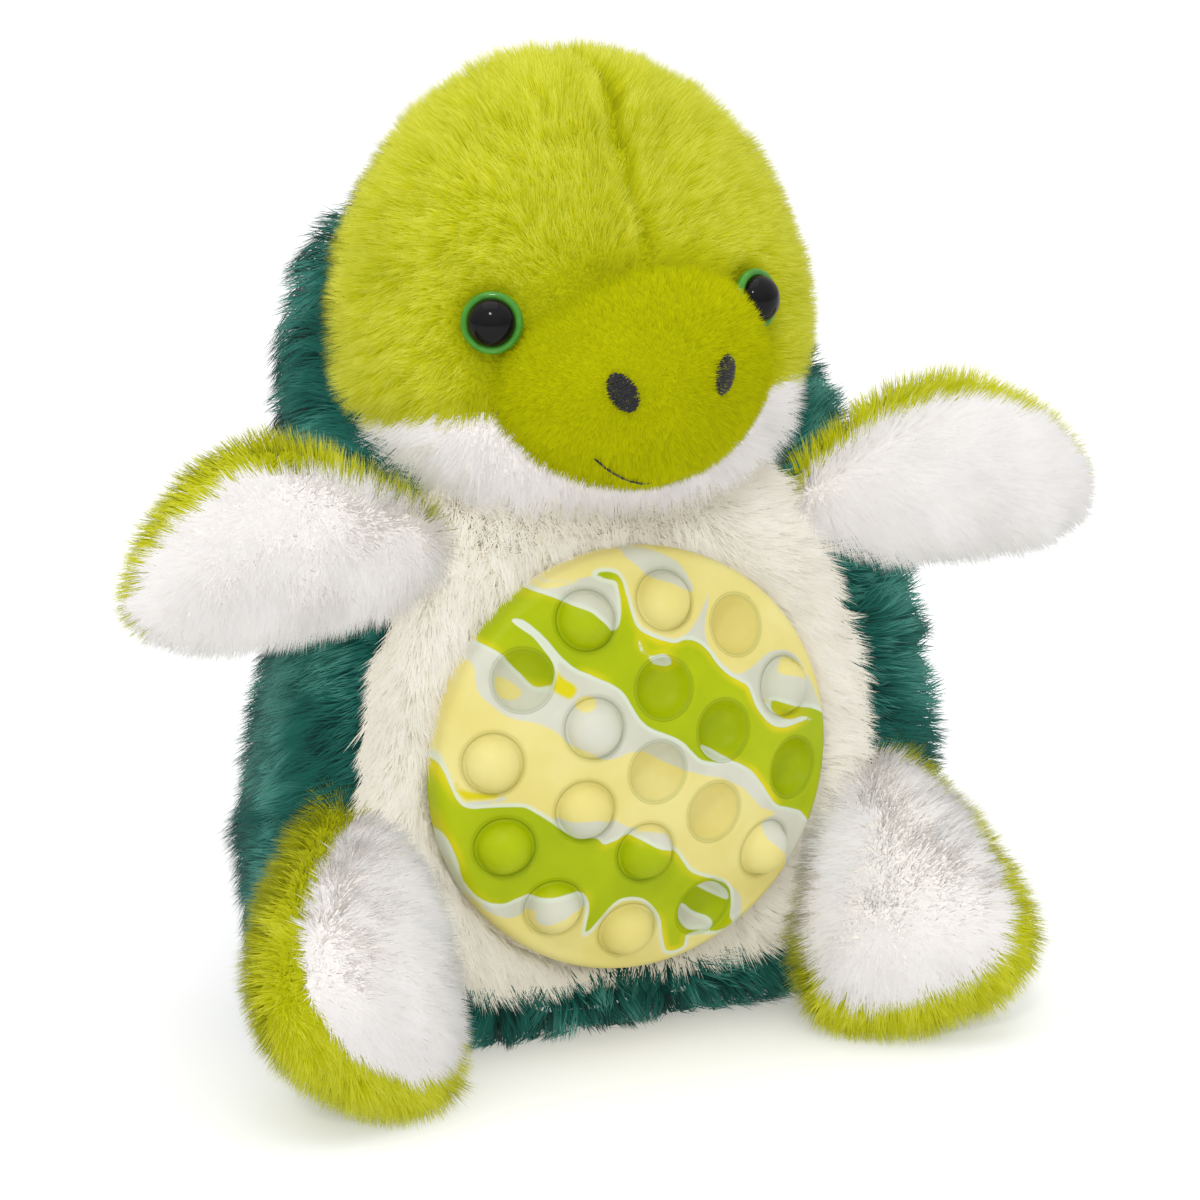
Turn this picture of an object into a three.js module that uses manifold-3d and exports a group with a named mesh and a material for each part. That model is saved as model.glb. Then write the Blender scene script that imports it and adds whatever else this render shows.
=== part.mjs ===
// Plush turtle, seated, with a domed silicone popper disc sewn into its belly.
// Millimetres, +Z up, the turtle faces -Y, its left arm and leg are at -X as the viewer sees them.
// Skins are modelled at the mean surface of the pile, stuffing as solid bodies inside them.
import * as THREE from 'three';
import { mergeVertices } from 'three/addons/utils/BufferGeometryUtils.js';
import Module from 'manifold-3d';

const wasm = await Module();
wasm.setup();

// ---- driving dimensions ----
const GAP = 0.3;              // air between touching pieces
const BODY_SKIN = 3.0;        // backing fabric and the dense part of the pile
const HEAD_SKIN = 2.6;
const LIMB_SKIN = 2.4;
const SNOUT_SKIN = 1.6;

// body, slices upward: z, half width, front y, back y, y of the widest line, x of the middle
const BODY_ROWS = [
  [0, 0, 2, 2, 2, 0], [0, 36, -16, 26, -2, 0], [0, 61, -33, 41, -12, 0], [2.6, 71, -39.5, 48, -14, 0.4], [9, 79, -44.5, 53.5, -15, 0.8],
  [20, 83.5, -46.5, 56.5, -16, 1], [38, 85.5, -46, 58.5, -16, 1.5], [62, 84, -45.5, 58.5, -15, 2.5], [88, 79, -44.5, 58, -13, 4.3],
  [108, 74, -42, 59.5, -9, 4.3], [124, 70, -34, 62.5, -2, 3.8], [138, 67.5, -20, 64.5, 6, 3.5], [152, 65.5, -3, 64.5, 15, 3.5],
  [166, 61.5, 11, 63, 25, 3.5], [178, 54, 22, 60, 33, 3.5], [187.5, 42.5, 30, 56, 41, 3.5], [194.5, 25, 37.5, 52, 44.5, 3.5], [197, 0, 45.5, 45.5, 45.5, 3.5],
];
const FRONT_EXP = 3.2;
const BACK_EXP = 2.15;

// head, slices upward
const HEAD_ROWS = [
  [117, 0, -4, -4, -4], [119, 21, -24, 14, -5], [124.5, 38, -38, 27, -5], [134, 50.5, -46.5, 36, -5], [146, 57, -48.5, 40.5, -5],
  [159, 59, -46.5, 42.5, -5], [172, 58.5, -43.5, 43, -4], [184, 56, -40, 41.5, -3], [196, 51, -35.5, 38, -2],
  [207, 43.5, -29.5, 32.5, -1], [217, 33, -22, 25.5, 0], [225, 20, -13.5, 17, 1], [229, 0, 2, 2, 2],
];
const HEAD_EXP = 2.1;
const HEAD_ROOM_EXP = 2.7;
const CHIN_Z = 147;           // seam between the green and the white fur
const CHIN_SLOPE = -0.14;
const CROWN_GAP = 0.3;

// snout, with a soft ridge down its middle
const SNOUT_C = [-0.8, -36.5, 157.2];
const SNOUT_R = [35.2, 26, 25.5];
const SNOUT_EXP = 1.6;
const SNOUT_LEAN = 0.19;        // its top is sewn on a little to the side
const NOSTRIL = { left: [-13.7, 159.3], right: [12.4, 161], half: [2.9, 4.3], tilt: -24 };
const MOUTH = { half: 17.6, z: 134.9, rise: 0.0265 };

// belly panel outline in XZ: z, half width about xc
const BELLY = {
  xc: -3.2, depth_y: -6,
  rows: [[15.5, 0], [15.7, 20], [16.5, 33], [19.5, 43], [25, 50.5], [35, 57.5], [48, 62], [62, 63], [76, 61.5], [88, 59], [100, 55.5], [110, 51], [120, 47], [129, 41], [137, 32], [142.5, 20], [144.5, 0]],
};

// gusset under the body
const BASE = { yc: 3, half_x: 54, half_y: 31 };

// popper
const POP_C = [-3.7, -37.2, 67.5];
const POP_TILT = 2.5;         // degrees, leans back
const CAP_R = 120;            // sphere of the domed face
const CAP_H = 20.3;           // its top above the fabric plane
const DISC_R = 50.4;
const HOLE_R = 48.5;          // opening in the belly panel
const NECK_OUT = 48.0;
const NECK_IN = 46.9;
const FLANGE_R = 53.2;
const WALL = 2.0;
const BUBBLE_R = 6.9;
const BUBBLE_H = 5.2;
const BUBBLE_WALL = 0.9;
const RING1 = 19.5;
const RING2 = 39.3;
const PHASE = -158.2;
// out = stands proud at rest, in = pushed through at rest; order is counter-clockwise from PHASE
const RING1_OUT = [true, true, false, false, false, true];
const RING2_OUT = [true, true, true, false, true, false, true, false, true, true, false, true];
const CENTRE_OUT = false;

// eyes
const EYE = { x: [35.4, 32], z: 173, ring_r: 7.1, dome_r: 5.3, shank_r: 1.5, washer_r: 5.6 };

// limbs: along, half width, half thickness, lift of the middle
const ARM_ROWS = [
  [-13, 0, 0, 0], [-10, 8.8, 7.4, 0], [-2, 14, 11.4, 0], [11, 19.4, 13, 2], [24, 24, 14, 4.5], [38, 25.4, 14.2, 5.5],
  [52, 22.4, 13, 3], [63, 16.4, 10, -1], [71, 9, 5.8, -4.5], [74.5, 0, 0, -6.5],
];
const ARM_ROWS_R = [
  [-13, 0, 0, -0.3], [-10, 8.8, 7.4, -0.4], [-2, 14.2, 11.4, -0.3], [11, 20.4, 13, 1.8], [24, 23.8, 14, 4], [38, 24, 14.2, 3.8],
  [52, 20.8, 13, 1.2], [64, 15.6, 10, -2], [72, 8.8, 5.8, -4.5], [75.5, 0, 0, -6],
];
const LEG_ROWS = [
  [-13, 0, 0], [-10, 8, 7], [-2, 13.2, 11.2], [11, 19.5, 15], [26, 26, 17], [40, 30, 17.4],
  [53, 31.5, 16], [61.5, 29.5, 13], [67.5, 22.5, 9], [71, 12.5, 5], [72.5, 0, 0],
];
// split: where the white and the green fur meet across the thickness; slant: how that seam leans from edge to edge
const LIMBS = {
  arm_left: { rows: ARM_ROWS, root: [-54, -30, 122], dir: [-1, -0.08, 0], roll: 0, hinge: [0, 0, 1], sweep: [31, 12, 0, -8], split: -1.5, slant: 0.14 },
  arm_right: { rows: ARM_ROWS_R, root: [53.5, -30, 122.5], dir: [1, -0.08, 0], roll: 0, hinge: [0, 0, 1], sweep: [-31, -12, 0, 8], split: -1.5, slant: 0.14 },
  leg_left: { rows: LEG_ROWS, root: [-70, -31, 46], dir: [-0.27, -0.715, -0.62], roll: -42, hinge: [0, 0, 1], sweep: [8, 0, -14], floor: true, split: -6, slant: 0 },
  leg_right: { rows: LEG_ROWS, root: [66, -33, 46], dir: [-0.17, -0.76, -0.62], roll: 24, hinge: [0, 0, 1], sweep: [-8, 0, 14], floor: true, split: -5, slant: 0 },
};

// ---- colours ----
const MAT = {
  shell: ['#2c6a5e', 0.95], lime: ['#b9c43a', 0.95], white: ['#ece8e4', 0.95], cream: ['#f2ede2', 0.95], snout: ['#a6b41c', 0.9],
  stuffing: ['#f4f4f2', 1.0], popper: ['#d8dc74', 0.45], green: ['#a5c30a', 0.45], yellow: ['#f0e48c', 0.45], pale: ['#e4e1de', 0.45],
  ring: ['#3c8c32', 0.25], dome: ['#08080a', 0.12], washer: ['#e8e8e4', 0.5], thread: ['#232326', 0.8], lining: ['#e6e2d8', 0.95],
};

// ---- numeric helpers ----
function pchip(ts, ys) {
  const n = ts.length, h = [], d = [], m = new Array(n).fill(0);
  for (let i = 0; i < n - 1; i++) { h.push(ts[i + 1] - ts[i]); d.push((ys[i + 1] - ys[i]) / h[i]); }
  m[0] = d[0]; m[n - 1] = d[n - 2];
  for (let i = 1; i < n - 1; i++) {
    if (d[i - 1] * d[i] <= 0) m[i] = 0;
    else { const w1 = 2 * h[i] + h[i - 1], w2 = h[i] + 2 * h[i - 1]; m[i] = (w1 + w2) / (w1 / d[i - 1] + w2 / d[i]); }
  }
  return (t) => {
    let i = 0;
    while (i < n - 2 && t > ts[i + 1]) i++;
    const s = (t - ts[i]) / h[i], s2 = s * s, s3 = s2 * s;
    return (2 * s3 - 3 * s2 + 1) * ys[i] + (s3 - 2 * s2 + s) * h[i] * m[i] + (-2 * s3 + 3 * s2) * ys[i + 1] + (s3 - s2) * h[i] * m[i + 1];
  };
}
const spow = (v, e) => Math.sign(v) * Math.pow(Math.abs(v), e);
const rad = (d) => (d * Math.PI) / 180;
const frac = (v) => v - Math.floor(v);

// closed surface of rings from pole to pole; ring(i) -> array of Vector3, first and last are single points
function shellOf(rings) {
  const pos = [], idx = [], start = [];
  for (const r of rings) { start.push(pos.length / 3); for (const p of r) pos.push(p.x, p.y, p.z); }
  for (let i = 0; i < rings.length - 1; i++) {
    const a = rings[i], b = rings[i + 1], sa = start[i], sb = start[i + 1], n = Math.max(a.length, b.length);
    for (let k = 0; k < n; k++) {
      const k2 = (k + 1) % n;
      if (a.length === 1) idx.push(sa, sb + k2, sb + k);
      else if (b.length === 1) idx.push(sa + k, sa + k2, sb);
      else if ((i + k) % 2) { idx.push(sa + k, sa + k2, sb + k2, sa + k, sb + k2, sb + k); }
      else { idx.push(sa + k, sa + k2, sb + k, sa + k2, sb + k2, sb + k); }
    }
  }
  const g = new THREE.BufferGeometry();
  g.setAttribute('position', new THREE.Float32BufferAttribute(pos, 3));
  g.setIndex(idx);
  return orient(g);
}
function volume(g) {
  const p = g.attributes.position, ix = g.index.array; let v = 0;
  const a = new THREE.Vector3(), b = new THREE.Vector3(), c = new THREE.Vector3();
  for (let i = 0; i < ix.length; i += 3) {
    a.fromBufferAttribute(p, ix[i]); b.fromBufferAttribute(p, ix[i + 1]); c.fromBufferAttribute(p, ix[i + 2]);
    v += a.dot(b.clone().cross(c)) / 6;
  }
  return v;
}
function orient(g) {
  if (volume(g) < 0) { const ix = g.index.array; for (let i = 0; i < ix.length; i += 3) { const t = ix[i]; ix[i] = ix[i + 1]; ix[i + 1] = t; } }
  return g;
}
// move every vertex along its normal
function offset(g, d) {
  if (!d) return g;
  const h = g.clone(); h.deleteAttribute('normal'); h.computeVertexNormals();
  const p = h.attributes.position, n = h.attributes.normal;
  for (let i = 0; i < p.count; i++) p.setXYZ(i, p.getX(i) + n.getX(i) * d, p.getY(i) + n.getY(i) * d, p.getZ(i) + n.getZ(i) * d);
  h.deleteAttribute('normal');
  return h;
}
// geometry <-> solid
function solid(g) {
  let q = g.clone(); q.deleteAttribute('normal'); q.deleteAttribute('uv'); q = mergeVertices(q, 1e-4);
  const ix = []; const s = q.index.array;
  for (let i = 0; i < s.length; i += 3) if (s[i] !== s[i + 1] && s[i + 1] !== s[i + 2] && s[i] !== s[i + 2]) ix.push(s[i], s[i + 1], s[i + 2]);
  q.setIndex(ix); orient(q);
  return new wasm.Manifold(new wasm.Mesh({ numProp: 3, vertProperties: new Float32Array(q.attributes.position.array), triVerts: new Uint32Array(q.index.array) }));
}
function geometry(m) {
  const k = m.getMesh();
  const g = new THREE.BufferGeometry();
  g.setAttribute('position', new THREE.Float32BufferAttribute(new Float32Array(k.vertProperties), 3));
  g.setIndex(Array.from(k.triVerts));
  return g;
}
const moved = (g, m) => { const h = g.clone(); h.applyMatrix4(m); return h; };

// ---- blobs from horizontal slices ----
function sliceBlob(rows, stations, around, fe, be, shape) {
  const t = [0];
  for (let i = 1; i < rows.length; i++) {
    const a = rows[i - 1], b = rows[i];
    t.push(t[i - 1] + Math.hypot(a[0] - b[0], (a[1] - b[1]) * 0.7, (a[2] - b[2]) * 0.4) + 0.01);
  }
  const f = [0, 1, 2, 3, 4, 5].map((c) => pchip(t, rows.map((r) => r[c] || 0)));
  const rings = [];
  for (let i = 0; i <= stations; i++) {
    const u = (t[t.length - 1] * i) / stations;
    const [z, a, yf, yb, yc, xc] = f.map((q) => q(u));
    if (i === 0 || i === stations) { rings.push([new THREE.Vector3(xc, yc, z)]); continue; }
    const ring = [];
    for (let k = 0; k < around; k++) {
      const w = (2 * Math.PI * k) / around, c = Math.cos(w), s = Math.sin(w);
      const e = s < 0 ? fe : be, b = s < 0 ? yc - yf : yb - yc;
      const p = new THREE.Vector3(xc + a * spow(c, 2 / e), yc + b * spow(s, 2 / e), z);
      ring.push(shape ? shape(p) : p);
    }
    rings.push(ring);
  }
  return shellOf(rings);
}

// the popper's own frame: local z is the outward normal of the disc
const popAxis = new THREE.Vector3(0, -Math.cos(rad(POP_TILT)), Math.sin(rad(POP_TILT)));
const popX = new THREE.Vector3(1, 0, 0);
const popY = popAxis.clone().cross(popX);
const popM = new THREE.Matrix4().makeBasis(popX, popY, popAxis).setPosition(new THREE.Vector3(...POP_C));

// the belly is pressed flat where the disc is sewn in
function flatten(p) {
  const q = p.clone().sub(new THREE.Vector3(...POP_C));
  const h = q.dot(popAxis);
  const r = Math.hypot(q.x, q.dot(popY));
  const w = 1 - THREE.MathUtils.smoothstep(r, 53.5, 64);
  const k = 1.2;
  const target = h > -k ? (h > k ? 0 : -((k - h) * (k - h)) / (4 * k)) : h;
  return p.clone().addScaledVector(popAxis, (target - h) * w);
}

const bodyG = sliceBlob(BODY_ROWS, 18, 26, FRONT_EXP, BACK_EXP, flatten);
const headG = sliceBlob(HEAD_ROWS, 12, 20, HEAD_EXP, HEAD_EXP, null);
// room for the head to turn: the same slices with fuller corners
const headRoomG = sliceBlob(HEAD_ROWS, 8, 14, HEAD_ROOM_EXP, HEAD_ROOM_EXP, null);

// ---- limbs ----
function limbFrame(l) {
  const x = new THREE.Vector3(...l.dir).normalize();
  let back;
  if (Math.abs(x.z) < 0.3) { back = new THREE.Vector3(0, 1, 0); }
  else { const side = new THREE.Vector3(0, 0, 1).cross(x).normalize(); back = side.clone().cross(x); if (back.z > 0) back.negate(); back.normalize(); }
  back.addScaledVector(x, -back.dot(x)).normalize();
  back.applyAxisAngle(x, rad(l.roll));
  const z = x.clone().cross(back);
  return new THREE.Matrix4().makeBasis(x, back, z).setPosition(new THREE.Vector3(...l.root));
}
function paddle(rows, around = 12, up = 1) {
  const rings = rows.map(([s, w, t, o = 0]) => {
    if (!w) return [new THREE.Vector3(s, 0, up * o)];
    const ring = [];
    for (let k = 0; k < around; k++) {
      const a = (2 * Math.PI * (k + 0.5)) / around;
      ring.push(new THREE.Vector3(s, t * Math.sin(a), up * o + w * spow(Math.cos(a), 0.95)));
    }
    return ring;
  });
  return shellOf(rings);
}
function sweepSolid(g, root, axis, angles) {
  const c = new THREE.Vector3(...root), n = new THREE.Vector3(...axis).normalize();
  let all = null;
  for (const a of angles) {
    const m = new THREE.Matrix4().makeTranslation(c.x, c.y, c.z)
      .multiply(new THREE.Matrix4().makeRotationAxis(n, rad(a)))
      .multiply(new THREE.Matrix4().makeTranslation(-c.x, -c.y, -c.z));
    const s = solid(moved(g, m));
    all = all ? all.add(s) : s;
  }
  return all;
}

// ---- primitives turned into place ----
// closed profile [r, z] turned about z
function lathe(profile, seg) {
  const pts = profile.map(([r, z]) => new THREE.Vector2(r, z));
  if (profile[0][0] !== 0) pts.push(pts[0].clone());
  const g = new THREE.LatheGeometry(pts, seg);
  g.rotateX(Math.PI / 2);
  return g;
}
function rod(r, z0, z1, seg = 24) { return lathe([[0, z0], [r, z0], [r, z1], [0, z1]], seg); }
function box(x0, x1, y0, y1, z0, z1) {
  const g = new THREE.BoxGeometry(x1 - x0, y1 - y0, z1 - z0); g.translate((x0 + x1) / 2, (y0 + y1) / 2, (z0 + z1) / 2);
  return g;
}

const group = new THREE.Group();
const out = [];
function add(name, m, mat) {
  const g = geometry(m.getMesh ? m : solid(m));
  const mesh = new THREE.Mesh(g, new THREE.MeshStandardMaterial({ color: MAT[mat][0], roughness: MAT[mat][1], metalness: 0 }));
  mesh.name = name;
  group.add(mesh);
  out.push(mesh);
}

// ---- limbs built first, their places are cut from the body ----
let pockets = null;
const limbSolids = {};
for (const [name, l] of Object.entries(LIMBS)) {
  const frame = limbFrame(l);
  const up = Math.sign(new THREE.Vector3().setFromMatrixColumn(frame, 2).z);
  const base = paddle(l.rows, 12, up);
  let g = moved(base, frame);
  if (l.floor) {
    g.computeBoundingBox();
    const lift = -g.boundingBox.min.z;
    frame.premultiply(new THREE.Matrix4().makeTranslation(0, 0, lift));
    l.root = [l.root[0], l.root[1], l.root[2] + lift];
    g = moved(base, frame);
  }
  const outer = solid(g);
  const inner = solid(moved(offset(base, -LIMB_SKIN), frame));
  const core = solid(moved(offset(base, -LIMB_SKIN - GAP), frame));
  const lean = new THREE.Matrix4().makeRotationX(Math.atan(l.slant * up));
  const cutY = l.split * Math.cos(Math.atan(l.slant));
  const front = solid(moved(moved(box(-60, 140, -60, cutY - GAP / 2, -60, 60), lean), frame));
  const back = solid(moved(moved(box(-60, 140, cutY + GAP / 2, 60, -60, 60), lean), frame));
  const skin = outer.subtract(inner);
  limbSolids[name] = { front: skin.intersect(front), back: skin.intersect(back), core, outer };
  const cut = sweepSolid(moved(offset(paddle(l.rows.filter((_, i, q) => i % 2 || !i || i === q.length - 1), 8, up), 2.8), frame), l.root, l.hinge, l.sweep);
  pockets = pockets ? pockets.add(cut) : cut;
}

// ---- head ----
const headOuter = solid(headG);
const headInner = solid(offset(headG, -HEAD_SKIN));
const headCore = solid(offset(headG, -HEAD_SKIN - GAP));
const headSweep = solid(offset(headRoomG, 3.3));

const snoutG = new THREE.SphereGeometry(1, 24, 12);
snoutG.rotateX(Math.PI / 2);
{
  const p = snoutG.attributes.position;
  for (let i = 0; i < p.count; i++) {
    const x = p.getX(i), y = p.getY(i), z = p.getZ(i), rho = Math.hypot(x, y);
    if (rho > 1e-6) p.setXYZ(i, rho * spow(x / rho, 2 / SNOUT_EXP), rho * spow(y / rho, 2 / SNOUT_EXP), z);
    p.setX(i, p.getX(i) + SNOUT_LEAN * Math.max(z, 0) ** 2);
  }
}
snoutG.scale(...SNOUT_R);
snoutG.translate(...SNOUT_C);
const snoutM = (() => { let q = snoutG.clone(); q.deleteAttribute('normal'); q.deleteAttribute('uv'); return mergeVertices(q, 1e-4); })();
const snoutOuter = solid(snoutM);
const snoutInner = solid(offset(snoutM, -SNOUT_SKIN));
const snoutCore = solid(offset(snoutM, -SNOUT_SKIN - GAP));
const headClear = solid(offset(headG, GAP));

// eyes: frame on the head surface, z outward
function eyeFrame(side) {
  const z = EYE.z;
  const o = new THREE.Vector3(side * EYE.x[side < 0 ? 0 : 1], -80, z), d = new THREE.Vector3(0, 1, 0);
  const mesh = new THREE.Mesh(headG.clone()); mesh.geometry.computeVertexNormals();
  const hit = new THREE.Raycaster(o, d).intersectObject(mesh)[0];
  const n = hit.face.normal.clone();
  // smoothed: blend the facet normal with the outward direction of the ellipse
  const p = hit.point;
  const s = new THREE.Vector3(p.x / (58 * 58), (p.y + 1) / (42 * 42), 0.00018 * (z - 160)).normalize();
  n.add(s).normalize();
  const q = new THREE.Quaternion().setFromUnitVectors(new THREE.Vector3(0, 0, 1), n);
  return new THREE.Matrix4().makeRotationFromQuaternion(q).setPosition(p);
}
const eyeCuts = [];
const eyes = {};
for (const [name, side] of [['left', -1], ['right', 1]]) {
  const m = eyeFrame(side);
  const e = EYE;
  const b = -1.2; // seat of the ring below the mean surface
  const ringP = lathe([[e.shank_r + GAP, b], [e.ring_r - 0.4, b], [e.ring_r, b + 0.5], [e.ring_r - 0.2, b + 1.1], [e.dome_r + 0.2, b + 1.9], [e.shank_r + GAP, b + 1.9]], 14);
  const d0 = b + 1.9 + GAP;
  const domeP = [[0, -11]];
  domeP.push([e.shank_r, -11], [e.shank_r, d0], [e.dome_r, d0]);
  for (let i = 1; i <= 3; i++) { const a = (i * Math.PI) / 6 * 0.9; domeP.push([e.dome_r * Math.cos(a), d0 + 0.5 + 3.4 * Math.sin(a)]); }
  domeP.push([0, d0 + 3.95]);
  const washP = lathe([[e.shank_r + GAP, -7.2], [e.washer_r, -7.2], [e.washer_r, -6.2], [e.shank_r + 1.6, -5.4], [e.shank_r + GAP, -5.4]], 10);
  eyes[name] = { ring: moved(ringP, m), dome: moved(lathe(domeP, 14), m), washer: moved(washP, m) };
  const cut = solid(moved(rod(e.ring_r + GAP, b - GAP, 12, 14), m)).add(solid(moved(rod(e.shank_r + GAP, -11.6, 5, 8), m)));
  const cutCore = solid(moved(rod(e.washer_r + 2 * GAP, -7.6, -4.9, 10), m)).add(solid(moved(rod(e.shank_r + GAP, -11.6, 5, 8), m)));
  eyeCuts.push([cut, cutCore]);
}
const eyeCut = eyeCuts[0][0].add(eyeCuts[1][0]);
const eyeCoreCut = eyeCuts[0][1].add(eyeCuts[1][1]);

// the white lower face is everything under a slightly sloping plane
function chinSide(below, g) {
  const b = box(-120, 120, -120, 120, below ? -200 : g, below ? -g : 200);
  const m = new THREE.Matrix4().makeTranslation(0, 0, CHIN_Z).multiply(new THREE.Matrix4().makeRotationX(Math.atan(CHIN_SLOPE)));
  return solid(moved(b, m));
}
const snoutHole = solid(offset(snoutM, GAP));
const headSkin = headOuter.subtract(headInner).subtract(eyeCut);
const green = headSkin.intersect(chinSide(false, GAP / 2));
add('head_panel_left', green.intersect(solid(box(-200, -CROWN_GAP / 2, -200, 200, 0, 400))), 'lime');
add('head_panel_right', green.intersect(solid(box(CROWN_GAP / 2, 200, -200, 200, 0, 400))), 'lime');
add('chin_panel', headSkin.intersect(chinSide(true, GAP / 2)), 'white');
add('head_stuffing', headCore.subtract(eyeCoreCut), 'stuffing');
add('snout_panel', snoutOuter.subtract(snoutInner).subtract(headClear).subtract(eyeCut), 'snout');
add('snout_stuffing', snoutCore.subtract(headClear).subtract(eyeCut), 'stuffing');
for (const s of ['left', 'right']) {
  add(`eye_ring_${s}`, eyes[s].ring, 'ring');
  add(`eye_dome_${s}`, eyes[s].dome, 'dome');
  add(`eye_washer_${s}`, eyes[s].washer, 'washer');
}

// ---- stitched nostrils and mouth: thin pads of thread laid on the snout ----
const threadLayer = solid(offset(snoutM, 1.1)).subtract(solid(offset(snoutM, GAP)));
function nostril(side) {
  const pts = [];
  const [cx, cz] = side < 0 ? NOSTRIL.left : NOSTRIL.right, tilt = side * rad(NOSTRIL.tilt);
  for (let k = 0; k < 14; k++) {
    const a = (2 * Math.PI * k) / 14, x = NOSTRIL.half[0] * Math.cos(a), z = NOSTRIL.half[1] * Math.sin(a);
    pts.push(new THREE.Vector2(cx + x * Math.cos(tilt) - z * Math.sin(tilt), cz + x * Math.sin(tilt) + z * Math.cos(tilt)));
  }
  const g = new THREE.ExtrudeGeometry(new THREE.Shape(pts), { depth: 40, bevelEnabled: false });
  g.rotateX(Math.PI / 2);            // shape x, y -> x, z ; depth -> -y
  g.translate(0, -30, 0);
  return threadLayer.intersect(solid(g));
}
add('nostril_left', nostril(-1), 'thread');
add('nostril_right', nostril(1), 'thread');
function mouth() {
  const n = 11, up = [], lo = [];
  for (let k = 0; k <= n; k++) {
    const x = MOUTH.half * (-1 + (2 * k) / n), z = MOUTH.z + MOUTH.rise * x * x;
    up.push(new THREE.Vector2(x, z + 0.6)); lo.push(new THREE.Vector2(x, z - 0.6));
  }
  const g = new THREE.ExtrudeGeometry(new THREE.Shape([...up, ...lo.reverse()]), { depth: 40, bevelEnabled: false });
  g.rotateX(Math.PI / 2);
  g.translate(0, -30, 0);
  return threadLayer.intersect(solid(g));
}
add('mouth_stitching', mouth(), 'thread');

// ---- body ----
const P = (g) => moved(g, popM);
const bodyOuter = solid(bodyG);
const bodyInner = solid(offset(bodyG, -BODY_SKIN));
const bodyCore = solid(offset(bodyG, -BODY_SKIN - GAP));
function bellyPrism(grow) {
  const side = BELLY.rows, n = side.length, ring = [];
  for (let k = 0; k < n; k++) ring.push([BELLY.xc + side[k][1], side[k][0]]);
  for (let k = n - 2; k > 0; k--) ring.push([BELLY.xc - side[k][1], side[k][0]]);
  const pts = ring.map((q, k) => {
    const a = ring[(k + ring.length - 1) % ring.length], b = ring[(k + 1) % ring.length];
    const dx = b[0] - a[0], dz = b[1] - a[1], l = Math.hypot(dx, dz);
    return new THREE.Vector2(q[0] + (grow * dz) / l, q[1] - (grow * dx) / l);
  });
  const g = new THREE.ExtrudeGeometry(new THREE.Shape(pts), { depth: 90 + grow, bevelEnabled: false });
  g.rotateX(Math.PI / 2);
  g.translate(0, BELLY.depth_y + grow, 0);
  return solid(g);
}
// the slivers of cloth between an arm's root and the cheek are left out
const armpits = solid(box(43, 62, -46, -8, 124, 142)).add(solid(box(-62, -43, -46, -8, 124, 142)));
const bodySkin = bodyOuter.subtract(bodyInner).subtract(pockets).subtract(headSweep).subtract(armpits);
const belly = bodySkin.intersect(bellyPrism(0))
  .subtract(solid(P(rod(HOLE_R + GAP, -40, 40, 26))))
  .subtract(solid(P(rod(DISC_R + 2 * GAP, 0, 40, 26))))
  .subtract(solid(P(rod(FLANGE_R + GAP, -40, -BODY_SKIN - GAP + 0.1, 26))));
add('belly_panel', belly, 'cream');
function basePrism(grow) {
  const pts = [];
  for (let k = 0; k < 24; k++) {
    const a = (2 * Math.PI * k) / 24;
    pts.push(new THREE.Vector2((BASE.half_x + grow) * Math.cos(a), BASE.yc + (BASE.half_y + grow) * Math.sin(a)));
  }
  const g = new THREE.ExtrudeGeometry(new THREE.Shape(pts), { depth: 30, bevelEnabled: false });
  g.translate(0, 0, -20);
  return solid(g);
}
add('base_panel', bodySkin.intersect(basePrism(0)), 'shell');
const shell = bodySkin.subtract(bellyPrism(GAP)).subtract(basePrism(GAP));
add('shell_panel_left', shell.intersect(solid(box(-200, -GAP / 2, -200, 200, -10, 400))), 'shell');
add('shell_panel_right', shell.intersect(solid(box(GAP / 2, 200, -200, 200, -10, 400))), 'shell');
add('body_stuffing', bodyCore.subtract(pockets).subtract(headSweep)
  .subtract(solid(P(rod(FLANGE_R + 3 * GAP, -6.0, 60, 26))))
  .subtract(solid(P(rod(NECK_OUT + 1, -10.6, 60, 26)))), 'stuffing');

// ---- limbs ----
for (const name of Object.keys(LIMBS)) {
  add(`${name}_front_panel`, limbSolids[name].front, 'white');
  add(`${name}_back_panel`, limbSolids[name].back, 'lime');
  add(`${name}_stuffing`, limbSolids[name].core, 'stuffing');
}

// ---- popper plate ----
const capZ = CAP_H - CAP_R;
const capAt = (r, R = CAP_R) => capZ + Math.sqrt(R * R - r * r);
const prof = [[0, CAP_H - WALL]];
for (const r of [24, 44]) prof.push([r, capAt(r, CAP_R - WALL)]);
prof.push([NECK_IN, 7.6], [NECK_IN, -4.2], [FLANGE_R, -4.2], [FLANGE_R, -BODY_SKIN - GAP], [NECK_OUT, -BODY_SKIN - GAP], [NECK_OUT, GAP], [DISC_R - 0.6, GAP], [DISC_R, 0.9], [DISC_R, 8.8], [DISC_R - 0.9, 10.2]);
for (const r of [47.0, 30]) prof.push([r, capAt(r)]);
prof.push([0, CAP_H]);
let plate = solid(P(lathe(prof, 26)));

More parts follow.
